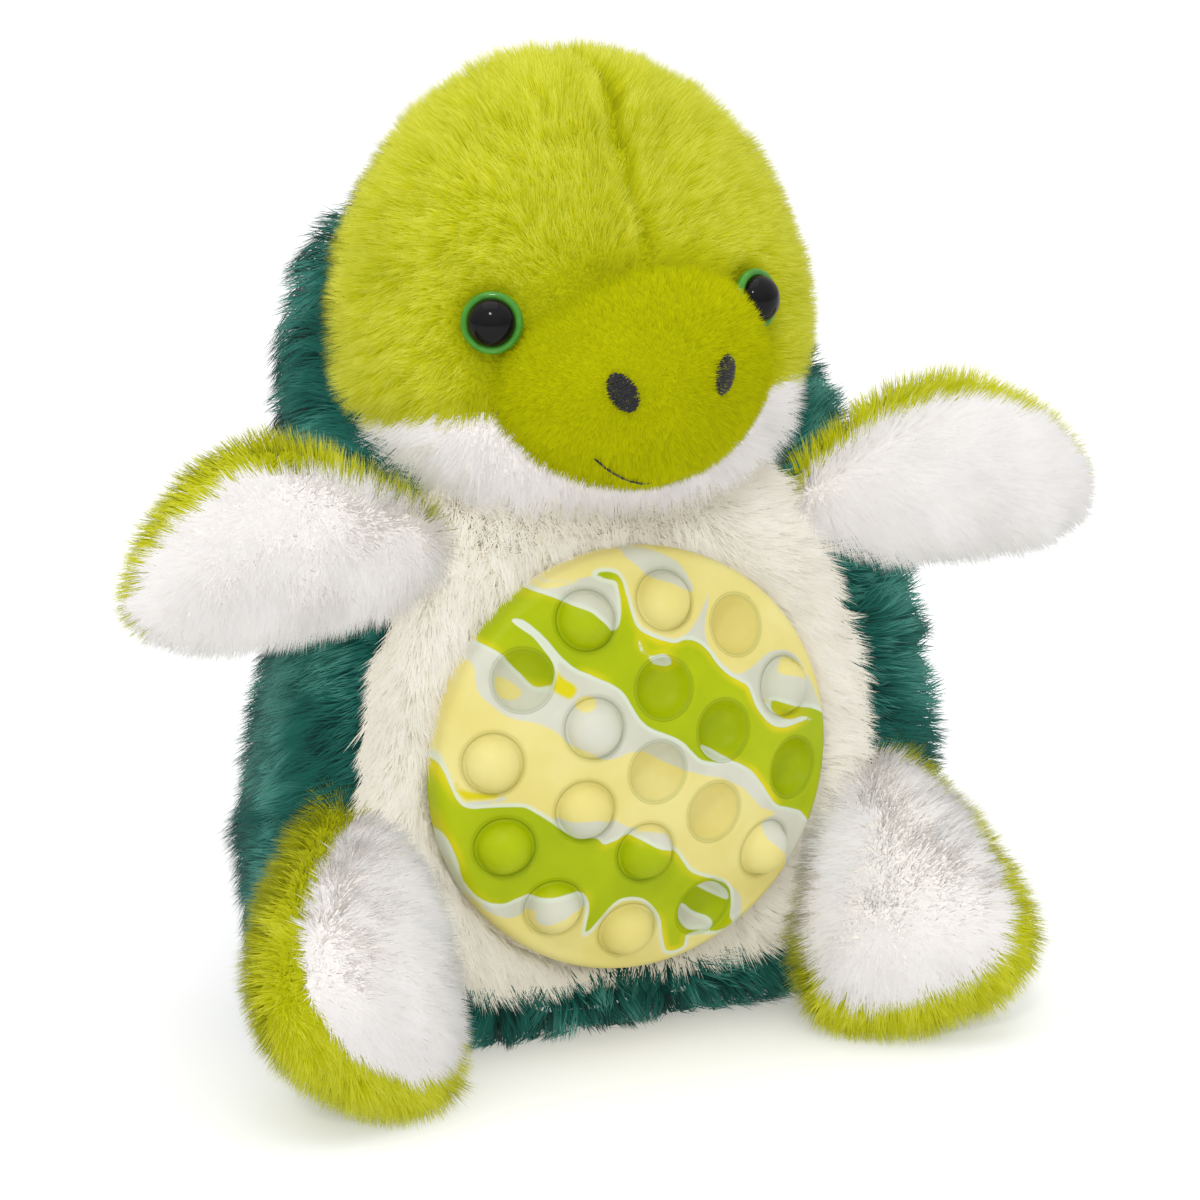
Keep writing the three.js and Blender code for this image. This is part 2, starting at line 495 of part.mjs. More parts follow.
function bubbleFrame(r, ang) {
  const x = r * Math.cos(rad(ang)), y = r * Math.sin(rad(ang));
  const p = new THREE.Vector3(x, y, capAt(r));
  const n = p.clone().sub(new THREE.Vector3(0, 0, capZ)).normalize();
  const q = new THREE.Quaternion().setFromUnitVectors(new THREE.Vector3(0, 0, 1), n);
  return popM.clone().multiply(new THREE.Matrix4().makeRotationFromQuaternion(q).setPosition(p));
}
const spots = [['popper_bubble_00', 0, 0, CENTRE_OUT]];
RING1_OUT.forEach((o, k) => spots.push([`popper_bubble_${String(k + 1).padStart(2, '0')}`, RING1, PHASE + 60 * k, o]));
RING2_OUT.forEach((o, k) => spots.push([`popper_bubble_${String(k + 7).padStart(2, '0')}`, RING2, PHASE + 30 * k, o]));
// a thin cup: a skirt in the plate's hole and a dome that stands out, or hangs in
const cup = (sign) => {
  const R = BUBBLE_R, H = BUBBLE_H, w = BUBBLE_WALL;
  const p = [[R, -WALL * 0.5], [R, 0.9], [R * 0.74, H * 0.74], [0, H], [0, H - w], [(R - w) * 0.72, (H - w) * 0.7], [R - w, 0.4], [R - w, -WALL * 0.5]];
  return lathe(sign > 0 ? p : p.map(([r, z]) => [r, -z - 0.9]), 10);
};
for (const [name, r, ang, isOut] of spots) {
  const m = bubbleFrame(r, ang);
  plate = plate.subtract(solid(moved(rod(BUBBLE_R + GAP, -3.6, 6, 10), m)));
}
add('popper_plate', plate, 'popper');
for (const [name, r, ang, isOut] of spots) {
  add(name, solid(moved(cup(isOut ? 1 : -1), bubbleFrame(r, ang))), isOut ? 'yellow' : 'green');
}
add('popper_lining', solid(P(lathe([[0, -10.2], [45.4, -10.2], [47.2, -5.7], [FLANGE_R, -5.7], [FLANGE_R, -4.7], [45.6, -4.7], [44.6, -9.4], [0, -9.4]], 24))), 'lining');

export default group;
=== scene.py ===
# Plush turtle with a silicone popper disc in its belly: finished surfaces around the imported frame.
import math
import bpy
import bmesh
import numpy as np
from mathutils import Vector, Matrix, kdtree, geometry
from mathutils.bvhtree import BVHTree


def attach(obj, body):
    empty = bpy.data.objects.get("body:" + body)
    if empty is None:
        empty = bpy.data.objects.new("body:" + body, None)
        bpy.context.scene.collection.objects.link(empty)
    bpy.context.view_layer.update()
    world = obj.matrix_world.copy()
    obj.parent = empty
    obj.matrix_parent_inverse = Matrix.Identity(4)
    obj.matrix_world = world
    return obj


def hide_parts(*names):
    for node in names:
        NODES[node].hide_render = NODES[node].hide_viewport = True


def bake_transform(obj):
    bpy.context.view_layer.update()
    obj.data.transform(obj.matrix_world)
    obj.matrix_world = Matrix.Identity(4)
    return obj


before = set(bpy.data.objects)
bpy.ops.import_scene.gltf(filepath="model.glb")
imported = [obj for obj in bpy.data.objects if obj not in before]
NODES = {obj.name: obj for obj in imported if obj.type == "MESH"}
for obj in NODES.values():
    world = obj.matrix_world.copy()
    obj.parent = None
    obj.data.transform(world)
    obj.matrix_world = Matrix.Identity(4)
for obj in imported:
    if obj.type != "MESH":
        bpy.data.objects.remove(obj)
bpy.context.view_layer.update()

MM = 0.001
DENSITY = 1.0

# ------------------------------------------------------------------ dimensions, mm, the same as the frame's
BODY_ROWS = [
    [0, 0, 2, 2, 2, 0], [0, 36, -16, 26, -2, 0], [0, 61, -33, 41, -12, 0], [2.6, 71, -39.5, 48, -14, 0.4], [9, 79, -44.5, 53.5, -15, 0.8],
    [20, 83.5, -46.5, 56.5, -16, 1], [38, 85.5, -46, 58.5, -16, 1.5], [62, 84, -45.5, 58.5, -15, 2.5], [88, 79, -44.5, 58, -13, 4.3],
    [108, 74, -42, 59.5, -9, 4.3], [124, 70, -34, 62.5, -2, 3.8], [138, 67.5, -20, 64.5, 6, 3.5], [152, 65.5, -3, 64.5, 15, 3.5],
    [166, 61.5, 11, 63, 25, 3.5], [178, 54, 22, 60, 33, 3.5], [187.5, 42.5, 30, 56, 41, 3.5], [194.5, 25, 37.5, 52, 44.5, 3.5], [197, 0, 45.5, 45.5, 45.5, 3.5]]
HEAD_ROWS = [
    [117, 0, -4, -4, -4], [119, 21, -24, 14, -5], [124.5, 38, -38, 27, -5], [134, 50.5, -46.5, 36, -5], [146, 57, -48.5, 40.5, -5],
    [159, 59, -46.5, 42.5, -5], [172, 58.5, -43.5, 43, -4], [184, 56, -40, 41.5, -3], [196, 51, -35.5, 38, -2],
    [207, 43.5, -29.5, 32.5, -1], [217, 33, -22, 25.5, 0], [225, 20, -13.5, 17, 1], [229, 0, 2, 2, 2]]
BELLY_X, BELLY_Y = -3.2, -6.0
BELLY_ROWS = [
    [15.5, 0], [15.7, 20], [16.5, 33], [19.5, 43], [25, 50.5], [35, 57.5], [48, 62], [62, 63], [76, 61.5], [88, 59], [100, 55.5],
    [110, 51], [120, 47], [129, 41], [137, 32], [142.5, 20], [144.5, 0]]
ARM_ROWS = [
    [-13, 0, 0, 0], [-10, 8.8, 7.4, 0], [-2, 14, 11.4, 0], [11, 19.4, 13, 2], [24, 24, 14, 4.5], [38, 25.4, 14.2, 5.5],
    [52, 22.4, 13, 3], [63, 16.4, 10, -1], [71, 9, 5.8, -4.5], [74.5, 0, 0, -6.5]]
ARM_ROWS_R = [
    [-13, 0, 0, -0.3], [-10, 8.8, 7.4, -0.4], [-2, 14.2, 11.4, -0.3], [11, 20.4, 13, 1.8], [24, 23.8, 14, 4], [38, 24, 14.2, 3.8],
    [52, 20.8, 13, 1.2], [64, 15.6, 10, -2], [72, 8.8, 5.8, -4.5], [75.5, 0, 0, -6]]
LEG_ROWS = [
    [-13, 0, 0, 0], [-10, 8, 7, 0], [-2, 13.2, 11.2, 0], [11, 19.5, 15, 0], [26, 26, 17, 0], [40, 30, 17.4, 0],
    [53, 31.5, 16, 0], [61.5, 29.5, 13, 0], [67.5, 22.5, 9, 0], [71, 12.5, 5, 0], [72.5, 0, 0, 0]]
LIMBS = {
    "arm_left": dict(rows=ARM_ROWS, root=(-54, -30, 122), dir=(-1, -0.08, 0), roll=0, split=-1.5, slant=0.14),
    "arm_right": dict(rows=ARM_ROWS_R, root=(53.5, -30, 122.5), dir=(1, -0.08, 0), roll=0, split=-1.5, slant=0.14),
    "leg_left": dict(rows=LEG_ROWS, root=(-70, -31, 55.519), dir=(-0.27, -0.715, -0.62), roll=-42, split=-6, slant=0),
    "leg_right": dict(rows=LEG_ROWS, root=(66, -33, 51.741), dir=(-0.17, -0.76, -0.62), roll=24, split=-5, slant=0)}
CHIN_Z, CHIN_SLOPE = 147.0, -0.14
SNOUT_C = np.array([-0.8, -36.5, 157.2])
SNOUT_R = np.array([35.2, 26, 25.5])
SNOUT_EXP = 1.6
SNOUT_LEAN = 0.19
POP_C = np.array([-3.7, -37.2, 67.5])
TILT = math.radians(2.5)
AX = np.array([0, -math.cos(TILT), math.sin(TILT)])
PX = np.array([1.0, 0, 0])
PY = np.cross(AX, PX)
CAP_R, CAP_H, WALL = 120.0, 20.3, 2.0
HOLE_R, DISC_R, FLANGE_R = 48.5, 50.4, 53.2
PHASE, RING1, RING2 = -158.2, 19.5, 39.3
SPOTS = [(0.0, 0.0, False)]
SPOTS += [(RING1, PHASE + 60 * k, o) for k, o in enumerate([True, True, False, False, False, True])]
SPOTS += [(RING2, PHASE + 30 * k, o) for k, o in enumerate([True, True, True, False, True, False, True, False, True, True, False, True])]
RIM_R, DOME_H = 7.5, 5.2

# depth of the backing cloth under the mean surface of the pile
BODY_DEPTH, HEAD_DEPTH, LIMB_DEPTH, SNOUT_DEPTH = 4.6, 3.7, 3.9, 1.3


# ------------------------------------------------------------------ numeric helpers
def lin(*rgb):
    c = np.array(rgb, float) / 255
    c = np.where(c <= 0.04045, c / 12.92, ((c + 0.055) / 1.055) ** 2.4)
    return (*c.tolist(), 1.0)


def unit(v):
    return v / np.maximum(np.linalg.norm(v, axis=-1, keepdims=True), 1e-12)


def smooth(x, a, b):
    t = np.clip((x - a) / (b - a), 0, 1)
    return t * t * (3 - 2 * t)


def spow(v, e):
    return np.sign(v) * np.abs(v) ** e


def pchip(ts, ys):
    ts, ys = np.asarray(ts, float), np.asarray(ys, float)
    h, n = np.diff(ts), len(ts)
    d = np.diff(ys) / h
    m = np.zeros(n)
    m[0], m[-1] = d[0], d[-1]
    for i in range(1, n - 1):
        if d[i - 1] * d[i] > 0:
            w1, w2 = 2 * h[i] + h[i - 1], h[i] + 2 * h[i - 1]
            m[i] = (w1 + w2) / (w1 / d[i - 1] + w2 / d[i])

    def f(t):
        t = np.asarray(t, float)
        i = np.clip(np.searchsorted(ts, t, side="right") - 1, 0, n - 2)
        s = (t - ts[i]) / h[i]
        s2, s3 = s * s, s ** 3
        return (2 * s3 - 3 * s2 + 1) * ys[i] + (s3 - 2 * s2 + s) * h[i] * m[i] + (-2 * s3 + 3 * s2) * ys[i + 1] + (s3 - s2) * h[i] * m[i + 1]
    return f


_table = np.random.default_rng(11).random((32, 32, 32))


def noise3(P, scale, shift=0.0):
    """Smooth value noise, -1 to 1, with features of about that size."""
    q = np.asarray(P) / scale + shift + 100.37
    i = np.floor(q).astype(int)
    f = q - i
    f = f * f * (3 - 2 * f)
    out = 0
    for dx in (0, 1):
        for dy in (0, 1):
            for dz in (0, 1):
                w = (f[:, 0] if dx else 1 - f[:, 0]) * (f[:, 1] if dy else 1 - f[:, 1]) * (f[:, 2] if dz else 1 - f[:, 2])
                out = out + w * _table[(i[:, 0] + dx) % 32, (i[:, 1] + dy) % 32, (i[:, 2] + dz) % 32]
    return out * 2 - 1


# ------------------------------------------------------------------ meshes
def rings_mesh(rings):
    """Closed surface from rings of points; the first and the last are single points."""
    V, F, start = [], [], []
    for r in rings:
        start.append(len(V))
        V.extend(np.atleast_2d(r).tolist())
    for i in range(len(rings) - 1):
        a, b = len(np.atleast_2d(rings[i])), len(np.atleast_2d(rings[i + 1]))
        sa, sb, n = start[i], start[i + 1], max(a, b)
        for k in range(n):
            k2 = (k + 1) % n
            if a == 1:
                F.append((sa, sb + k2, sb + k))
            elif b == 1:
                F.append((sa + k, sa + k2, sb))
            else:
                F.append((sa + k, sa + k2, sb + k2, sb + k))
    V = np.array(V, float)
    return V, outward(V, F)


def tris(F):
    out = []
    for f in F:
        for k in range(1, len(f) - 1):
            out.append((f[0], f[k], f[k + 1]))
    return np.array(out, int)


def outward(V, F):
    t = tris(F)
    vol = np.einsum("ij,ij->i", V[t[:, 0]], np.cross(V[t[:, 1]], V[t[:, 2]])).sum()
    return [tuple(reversed(f)) for f in F] if vol < 0 else F


def normals(V, F):
    t = tris(F)
    n = np.cross(V[t[:, 1]] - V[t[:, 0]], V[t[:, 2]] - V[t[:, 0]])
    N = np.zeros_like(V)
    for k in range(3):
        np.add.at(N, t[:, k], n)
    return unit(N)


def slice_blob(rows, stations, around, fe, be, shape=None):
    rows = np.array(rows, float)
    t = [0.0]
    for a, b in zip(rows, rows[1:]):
        t.append(t[-1] + math.hypot(math.hypot(a[0] - b[0], (a[1] - b[1]) * 0.7), (a[2] - b[2]) * 0.4) + 0.01)
    if rows.shape[1] < 6:
        rows = np.column_stack([rows, np.zeros(len(rows))])
    f = [pchip(t, rows[:, c]) for c in range(6)]
    w = 2 * np.pi * np.arange(around) / around
    c, s = np.cos(w), np.sin(w)
    rings = []
    for i in range(stations + 1):
        u = t[-1] * i / stations
        z, a, yf, yb, yc, xc = [float(q(u)) for q in f]
        if i in (0, stations):
            rings.append(np.array([[xc, yc, z]]))
            continue
        e = np.where(s < 0, fe, be)
        b = np.where(s < 0, yc - yf, yb - yc)
        ring = np.stack([xc + a * spow(c, 2 / e), yc + b * spow(s, 2 / e), np.full(around, z)], 1)
        rings.append(shape(ring) if shape else ring)
    return rings_mesh(rings)


def disc_local(P):
    q = P - POP_C
    return q @ PX, q @ PY, q @ AX


def flatten(P):
    x, y, h = disc_local(P)
    r = np.hypot(x, y)
    w = 1 - smooth(r, 53.5, 64)
    k = 1.2
    target = np.where(h > -k, np.where(h > k, 0, -((k - h) ** 2) / (4 * k)), h)
    return P + AX * ((target - h) * w)[:, None]


def limb_frame(l):
    x = unit(np.array(l["dir"], float))
    if abs(x[2]) < 0.3:
        back = np.array([0, 1.0, 0])
    else:
        side = unit(np.cross([0, 0, 1.0], x))
        back = np.cross(side, x)
        if back[2] > 0:
            back = -back
        back = unit(back)
    back = unit(back - x * (back @ x))
    a = math.radians(l["roll"])
    back = back * math.cos(a) + np.cross(x, back) * math.sin(a)
    z = np.cross(x, back)
    return np.stack([x, back, z], 1), np.array(l["root"], float)


def paddle(rows, stations, around, up):
    rows = np.array(rows, float)
    t = [0.0]
    for a, b in zip(rows, rows[1:]):
        t.append(t[-1] + math.sqrt((a[0] - b[0]) ** 2 + (a[1] - b[1]) ** 2 * 0.6 + (a[2] - b[2]) ** 2 * 0.6) + 0.01)
    f = [pchip(t, rows[:, c]) for c in range(4)]
    a = 2 * np.pi * (np.arange(around) + 0.5) / around
    rings = []
    for i in range(stations + 1):
        s, w, th, o = [float(q(t[-1] * i / stations)) for q in f]
        if i in (0, stations):
            rings.append(np.array([[s, 0, up * o]]))
            continue
        rings.append(np.stack([np.full(around, s), th * np.sin(a), up * o + w * spow(np.cos(a), 0.95)], 1))
    return rings_mesh(rings)


def link(ob):
    bpy.context.scene.collection.objects.link(ob)
    return ob


def new_mesh(name, V, F, smooth_faces=True):
    """An object from points in mm."""
    me = bpy.data.meshes.new(name)
    me.from_pydata((np.asarray(V) * MM).tolist(), [], [tuple(int(i) for i in f) for f in F], shade_flat=not smooth_faces)
    me.update()
    return link(bpy.data.objects.new(name, me))


def arrays(me):
    V = np.empty(len(me.vertices) * 3)
    me.vertices.foreach_get("co", V)
    return V.reshape(-1, 3) / MM, [tuple(p.vertices) for p in me.polygons]


def baked(ob):
    dg = bpy.context.evaluated_depsgraph_get()
    me = bpy.data.meshes.new_from_object(ob.evaluated_get(dg))
    ob.modifiers.clear()
    old = ob.data
    ob.data = me
    bpy.data.meshes.remove(old)
    return ob


def settle(name, V, F, voxel, pin, cap, pressure=4.0, frames=20, slack=0.0):
    """Stuffed fabric: an even mesh, swollen by pressure between its pinned seams, then subdivided once."""
    ob = new_mesh(name, V, F)
    m = ob.modifiers.new("even", "REMESH")
    m.mode, m.voxel_size = "VOXEL", voxel * MM
    baked(ob)
    m = ob.modifiers.new("ease", "SMOOTH")
    m.factor, m.iterations = 0.5, 3
    baked(ob)
    V0, F0 = arrays(ob.data)
    g = ob.vertex_groups.new(name="pin")
    w = np.clip(pin(V0), 0, 1)
    for i in np.nonzero(w > 0.01)[0]:
        g.add([int(i)], float(w[i]), "REPLACE")
    m = ob.modifiers.new("cloth", "CLOTH")
    s = m.settings
    s.quality = 5
    s.mass = 0.2
    s.use_pressure = True
    s.uniform_pressure_force = pressure
    s.effector_weights.gravity = 0
    s.vertex_group_mass = "pin"
    s.tension_stiffness = s.compression_stiffness = 12
    s.shear_stiffness = 6
    s.bending_stiffness = 0.4
    s.shrink_min = -slack
    m.point_cache.frame_start, m.point_cache.frame_end = 1, frames
    sc = bpy.context.scene
    sc.frame_start, sc.frame_end = 1, frames
    for f in range(1, frames + 1):
        sc.frame_set(f)
    dg = bpy.context.evaluated_depsgraph_get()
    me = bpy.data.meshes.new_from_object(ob.evaluated_get(dg))
    V1, _ = arrays(me)
    bpy.data.meshes.remove(me)
    ob.modifiers.clear()
    sc.frame_set(1)
    d = V1 - V0
    n = np.linalg.norm(d, axis=1)
    print(f"{name}: the pressure moved it {n.mean():.2f} mm on average, {n.max():.2f} at most")
    d *= (np.minimum(n, cap) / np.maximum(n, 1e-9))[:, None]
    d = np.nan_to_num(d)
    ob.data.vertices.foreach_set("co", ((V0 + d) * MM).ravel())
    ob.data.update()
    m = ob.modifiers.new("fine", "SUBSURF")
    m.levels = m.render_levels = 1
    baked(ob)
    V2, F2 = arrays(ob.data)
    bpy.data.objects.remove(ob)
    return V2, F2


def cut(V, F, f):
    """Adds an edge line where f changes sign."""
    me = bpy.data.meshes.new("cut")
    me.from_pydata(V.tolist(), [], F)
    bm = bmesh.new()
    bm.from_mesh(me)
    bm.verts.ensure_lookup_table()
    val = f(V)
    val = np.where(np.abs(val) < 1e-6, 1e-6, val)
    fresh = set()
    for e in list(bm.edges):
        a, b = e.verts
        va, vb = val[a.index], val[b.index]
        if va * vb < 0:
            t = min(max(va / (va - vb), 0.06), 0.94)
            _, v = bmesh.utils.edge_split(e, a, t)
            fresh.add(v)
    for face in list(bm.faces):
        new = [v for v in face.verts if v in fresh]
        if len(new) == 2:
            try:
                bmesh.utils.face_split(face, new[0], new[1])
            except ValueError:
                pass
    bm.verts.index_update()
    bm.to_mesh(me)
    bm.free()
    W = np.empty(len(me.vertices) * 3)
    me.vertices.foreach_get("co", W)
    out = W.reshape(-1, 3), [tuple(p.vertices) for p in me.polygons]
    bpy.data.meshes.remove(me)
    return out


def centres(V, F):
    return np.array([V[list(f)].mean(0) for f in F])


def part_of(V, F, keep):
    """The faces where keep is true, with only their own points. Returns points, faces and the old numbers of the points."""
    F = [f for f, k in zip(F, keep) if k]
    used = sorted(set(i for f in F for i in f))
    to = {o: n for n, o in enumerate(used)}
    return V[used], [tuple(to[i] for i in f) for f in F], np.array(used)


# ------------------------------------------------------------------ materials
def principled(name, rough=0.6, spec=0.5, sheen=0.0, sheen_rough=0.5, coat=0.0, coat_rough=0.1, sss=0.0, sss_r=(1, 1, 1), sss_scale=0.002):
    m = bpy.data.materials.new(name)
    m.use_nodes = True
    nt = m.node_tree
    b = nt.nodes["Principled BSDF"]
    b.inputs["Roughness"].default_value = rough
    b.inputs["Specular IOR Level"].default_value = spec
    b.inputs["Sheen Weight"].default_value = sheen
    b.inputs["Sheen Roughness"].default_value = sheen_rough
    b.inputs["Coat Weight"].default_value = coat
    b.inputs["Coat Roughness"].default_value = coat_rough
    if sss:
        b.inputs["Subsurface Weight"].default_value = sss
        b.inputs["Subsurface Radius"].default_value = sss_r
        b.inputs["Subsurface Scale"].default_value = sss_scale
    return m, nt, b


def ramp(nt, stops, ease="EASE"):
    r = nt.nodes.new("ShaderNodeValToRGB")
    r.color_ramp.interpolation = ease
    els = r.color_ramp.elements
    while len(els) < len(stops):
        els.new(0.5)
    for e, (p, c) in zip(els, stops):
        e.position, e.color = p, c
    return r


def mix(nt, fac, a, b, kind="MIX"):
    n = nt.nodes.new("ShaderNodeMix")
    n.data_type, n.blend_type = "RGBA", kind
    for k, v in ((0, fac), (6, a), (7, b)):
        if isinstance(v, (int, float)):
            n.inputs[k].default_value = v
        elif isinstance(v, tuple):
            n.inputs[k].default_value = v
        else:
            nt.links.new(v, n.inputs[k])
    return n.outputs[2]


def math_node(nt, op, a, b=0.0, c=0.0, clamp=False):
    n = nt.nodes.new("ShaderNodeMath")
    n.operation, n.use_clamp = op, clamp
    for k, v in enumerate((a, b, c)):
        if isinstance(v, (int, float)):
            n.inputs[k].default_value = v
        else:
            nt.links.new(v, n.inputs[k])
    return n.outputs[0]


def noise(nt, scale, detail=2.0, rough=0.5, vec=None):
    n = nt.nodes.new("ShaderNodeTexNoise")
    n.inputs["Scale"].default_value = scale
    n.inputs["Detail"].default_value = detail
    n.inputs["Roughness"].default_value = rough
    if vec is None:
        vec = nt.nodes.new("ShaderNodeTexCoord").outputs["Object"]
    nt.links.new(vec, n.inputs["Vector"])
    return n.outputs[0]


def bump(nt, b, height, strength, distance):
    n = nt.nodes.new("ShaderNodeBump")
    n.inputs["Strength"].default_value = strength
    n.inputs["Distance"].default_value = distance
    nt.links.new(height, n.inputs["Height"])
    nt.links.new(n.outputs[0], b.inputs["Normal"])


def fibre_material(name, root, mid, tip, dark, light, rough=0.72, spec=0.2, sheen=0.2):
    """Colour runs along each strand, v, and from strand to strand, u, of its own map. The darker roots are partly the
    fibre's own colour and partly painted shade deep in the pile, whose strands cast no shadows.
    """
    m, nt, b = principled(name, rough, spec, sheen, 0.45)
    uv = nt.nodes.new("ShaderNodeUVMap")
    uv.uv_map = "OFBake"
    sep = nt.nodes.new("ShaderNodeSeparateXYZ")
    nt.links.new(uv.outputs[0], sep.inputs[0])
    along = ramp(nt, [(0.0, lin(*root)), (0.45, lin(*mid)), (1.0, lin(*tip))])
    nt.links.new(sep.outputs[1], along.inputs[0])
    tint = ramp(nt, [(0.0, dark), (0.5, (1, 1, 1, 1)), (1.0, light)], "LINEAR")
    nt.links.new(sep.outputs[0], tint.inputs[0])
    nt.links.new(mix(nt, 1.0, along.outputs[0], tint.outputs[0], "MULTIPLY"), b.inputs["Base Color"])
    return m


def backing_material(name, colour, darker):
    """Knitted backing with the stubble of the pile."""
    m, nt, b = principled(name, 0.9, 0.05, 0.0)
    n = noise(nt, 900, 3, 0.6)
    big = noise(nt, 60, 2, 0.5)
    r = ramp(nt, [(0.3, lin(*darker)), (0.7, lin(*colour))])
    nt.links.new(math_node(nt, "ADD", math_node(nt, "MULTIPLY", n, 0.7), math_node(nt, "MULTIPLY", big, 0.3)), r.inputs[0])
    nt.links.new(r.outputs[0], b.inputs["Base Color"])
    bump(nt, b, n, 0.8, 0.0006)
    return m


# root, mid and tip colours of each pile: the darker roots are partly painted shade deep in the pile
FUR = {
    "shell": fibre_material("shell_pile", (4, 40, 35), (20, 82, 73), (78, 140, 127), (0.5, 0.58, 0.58, 1), (1.4, 1.34, 1.32, 1), spec=0.1, sheen=0.05),
    "lime": fibre_material("lime_pile", (140, 144, 0), (185, 187, 18), (221, 222, 84), (0.80, 0.84, 0.70, 1), (1.12, 1.10, 1.3, 1), spec=0.05, sheen=0.0),
    "snout": fibre_material("snout_pile", (128, 132, 0), (168, 171, 0), (204, 205, 8), (0.84, 0.87, 0.75, 1), (1.1, 1.09, 1.2, 1), spec=0.03, sheen=0.0),
    "white": fibre_material("white_pile", (228, 221, 216), (241, 237, 234), (251, 250, 249), (0.95, 0.92, 0.915, 1), (1.03, 1.03, 1.03, 1), spec=0.05, sheen=0.0),
    "cream": fibre_material("cream_pile", (194, 184, 163), (222, 216, 201), (237, 234, 224), (0.9, 0.88, 0.84, 1), (1.05, 1.05, 1.06, 1), spec=0.05, sheen=0.0),
}
BACKING = {
    "shell": backing_material("shell_backing", (16, 72, 64), (6, 44, 40)),
    "lime": backing_material("lime_backing", (172, 176, 10), (140, 144, 0)),
    "snout": backing_material("snout_backing", (166, 168, 2), (150, 152, 0)),
    "white": backing_material("white_backing", (240, 236, 233), (226, 219, 215)),
    "cream": backing_material("cream_backing", (226, 220, 204), (200, 191, 170)),
}


def fluff_material():
    m, nt, b = principled("loose_fibre", 0.95, 0.1, 0.3)
    n = noise(nt, 400, 5, 0.7)
    r = ramp(nt, [(0.2, lin(205, 204, 200)), (0.8, lin(246, 246, 244))])
    nt.links.new(n, r.inputs[0])
    nt.links.new(r.outputs[0], b.inputs["Base Color"])
    bump(nt, b, n, 1.0, 0.001)
    return m


def cloth_material():
    m, nt, b = principled("plain_cloth", 0.9, 0.15, 0.15)
    c = nt.nodes.new("ShaderNodeTexCoord").outputs["Object"]
    w = nt.nodes.new("ShaderNodeTexWave")
    w.inputs["Scale"].default_value = 700
    nt.links.new(c, w.inputs["Vector"])
    r = ramp(nt, [(0.0, lin(206, 200, 188)), (1.0, lin(236, 232, 222))])
    nt.links.new(w.outputs[0], r.inputs[0])
    nt.links.new(r.outputs[0], b.inputs["Base Color"])
    bump(nt, b, w.outputs[1], 0.4, 0.0003)
    return m


def moulded_material(name, colour, rough, darker):
    m, nt, b = principled(name, rough, 0.5)
    n = noise(nt, 1500, 2, 0.5)
    r = ramp(nt, [(0.0, lin(*darker)), (1.0, lin(*colour))])
    nt.links.new(n, r.inputs[0])
    nt.links.new(r.outputs[0], b.inputs["Base Color"])
    bump(nt, b, n, 0.1, 0.0001)
    return m


def thread_material():
    m, nt, b = principled("black_thread", 0.6, 0.18, 0.08)
    n = noise(nt, 2500, 2, 0.6)
    r = ramp(nt, [(0.2, lin(12, 12, 14)), (0.8, lin(46, 46, 50))])
    nt.links.new(n, r.inputs[0])
    nt.links.new(r.outputs[0], b.inputs["Base Color"])
    bump(nt, b, n, 0.4, 0.0001)
    return m


def eye_black():
    m, nt, b = principled("polished_black", 0.05, 0.16)
    n = noise(nt, 300, 1, 0.5)
    r = ramp(nt, [(0.0, (0.002, 0.002, 0.002, 1)), (1.0, (0.006, 0.006, 0.007, 1))])
    nt.links.new(n, r.inputs[0])
    nt.links.new(r.outputs[0], b.inputs["Base Color"])
    return m


def eye_green():
    m, nt, b = principled("polished_green", 0.14, 0.3, coat=0.3, coat_rough=0.06)
    n = noise(nt, 400, 2, 0.5)
    r = ramp(nt, [(0.0, lin(48, 118, 24)), (1.0, lin(72, 146, 38))])
    nt.links.new(n, r.inputs[0])
    nt.links.new(r.outputs[0], b.inputs["Base Color"])
    return m


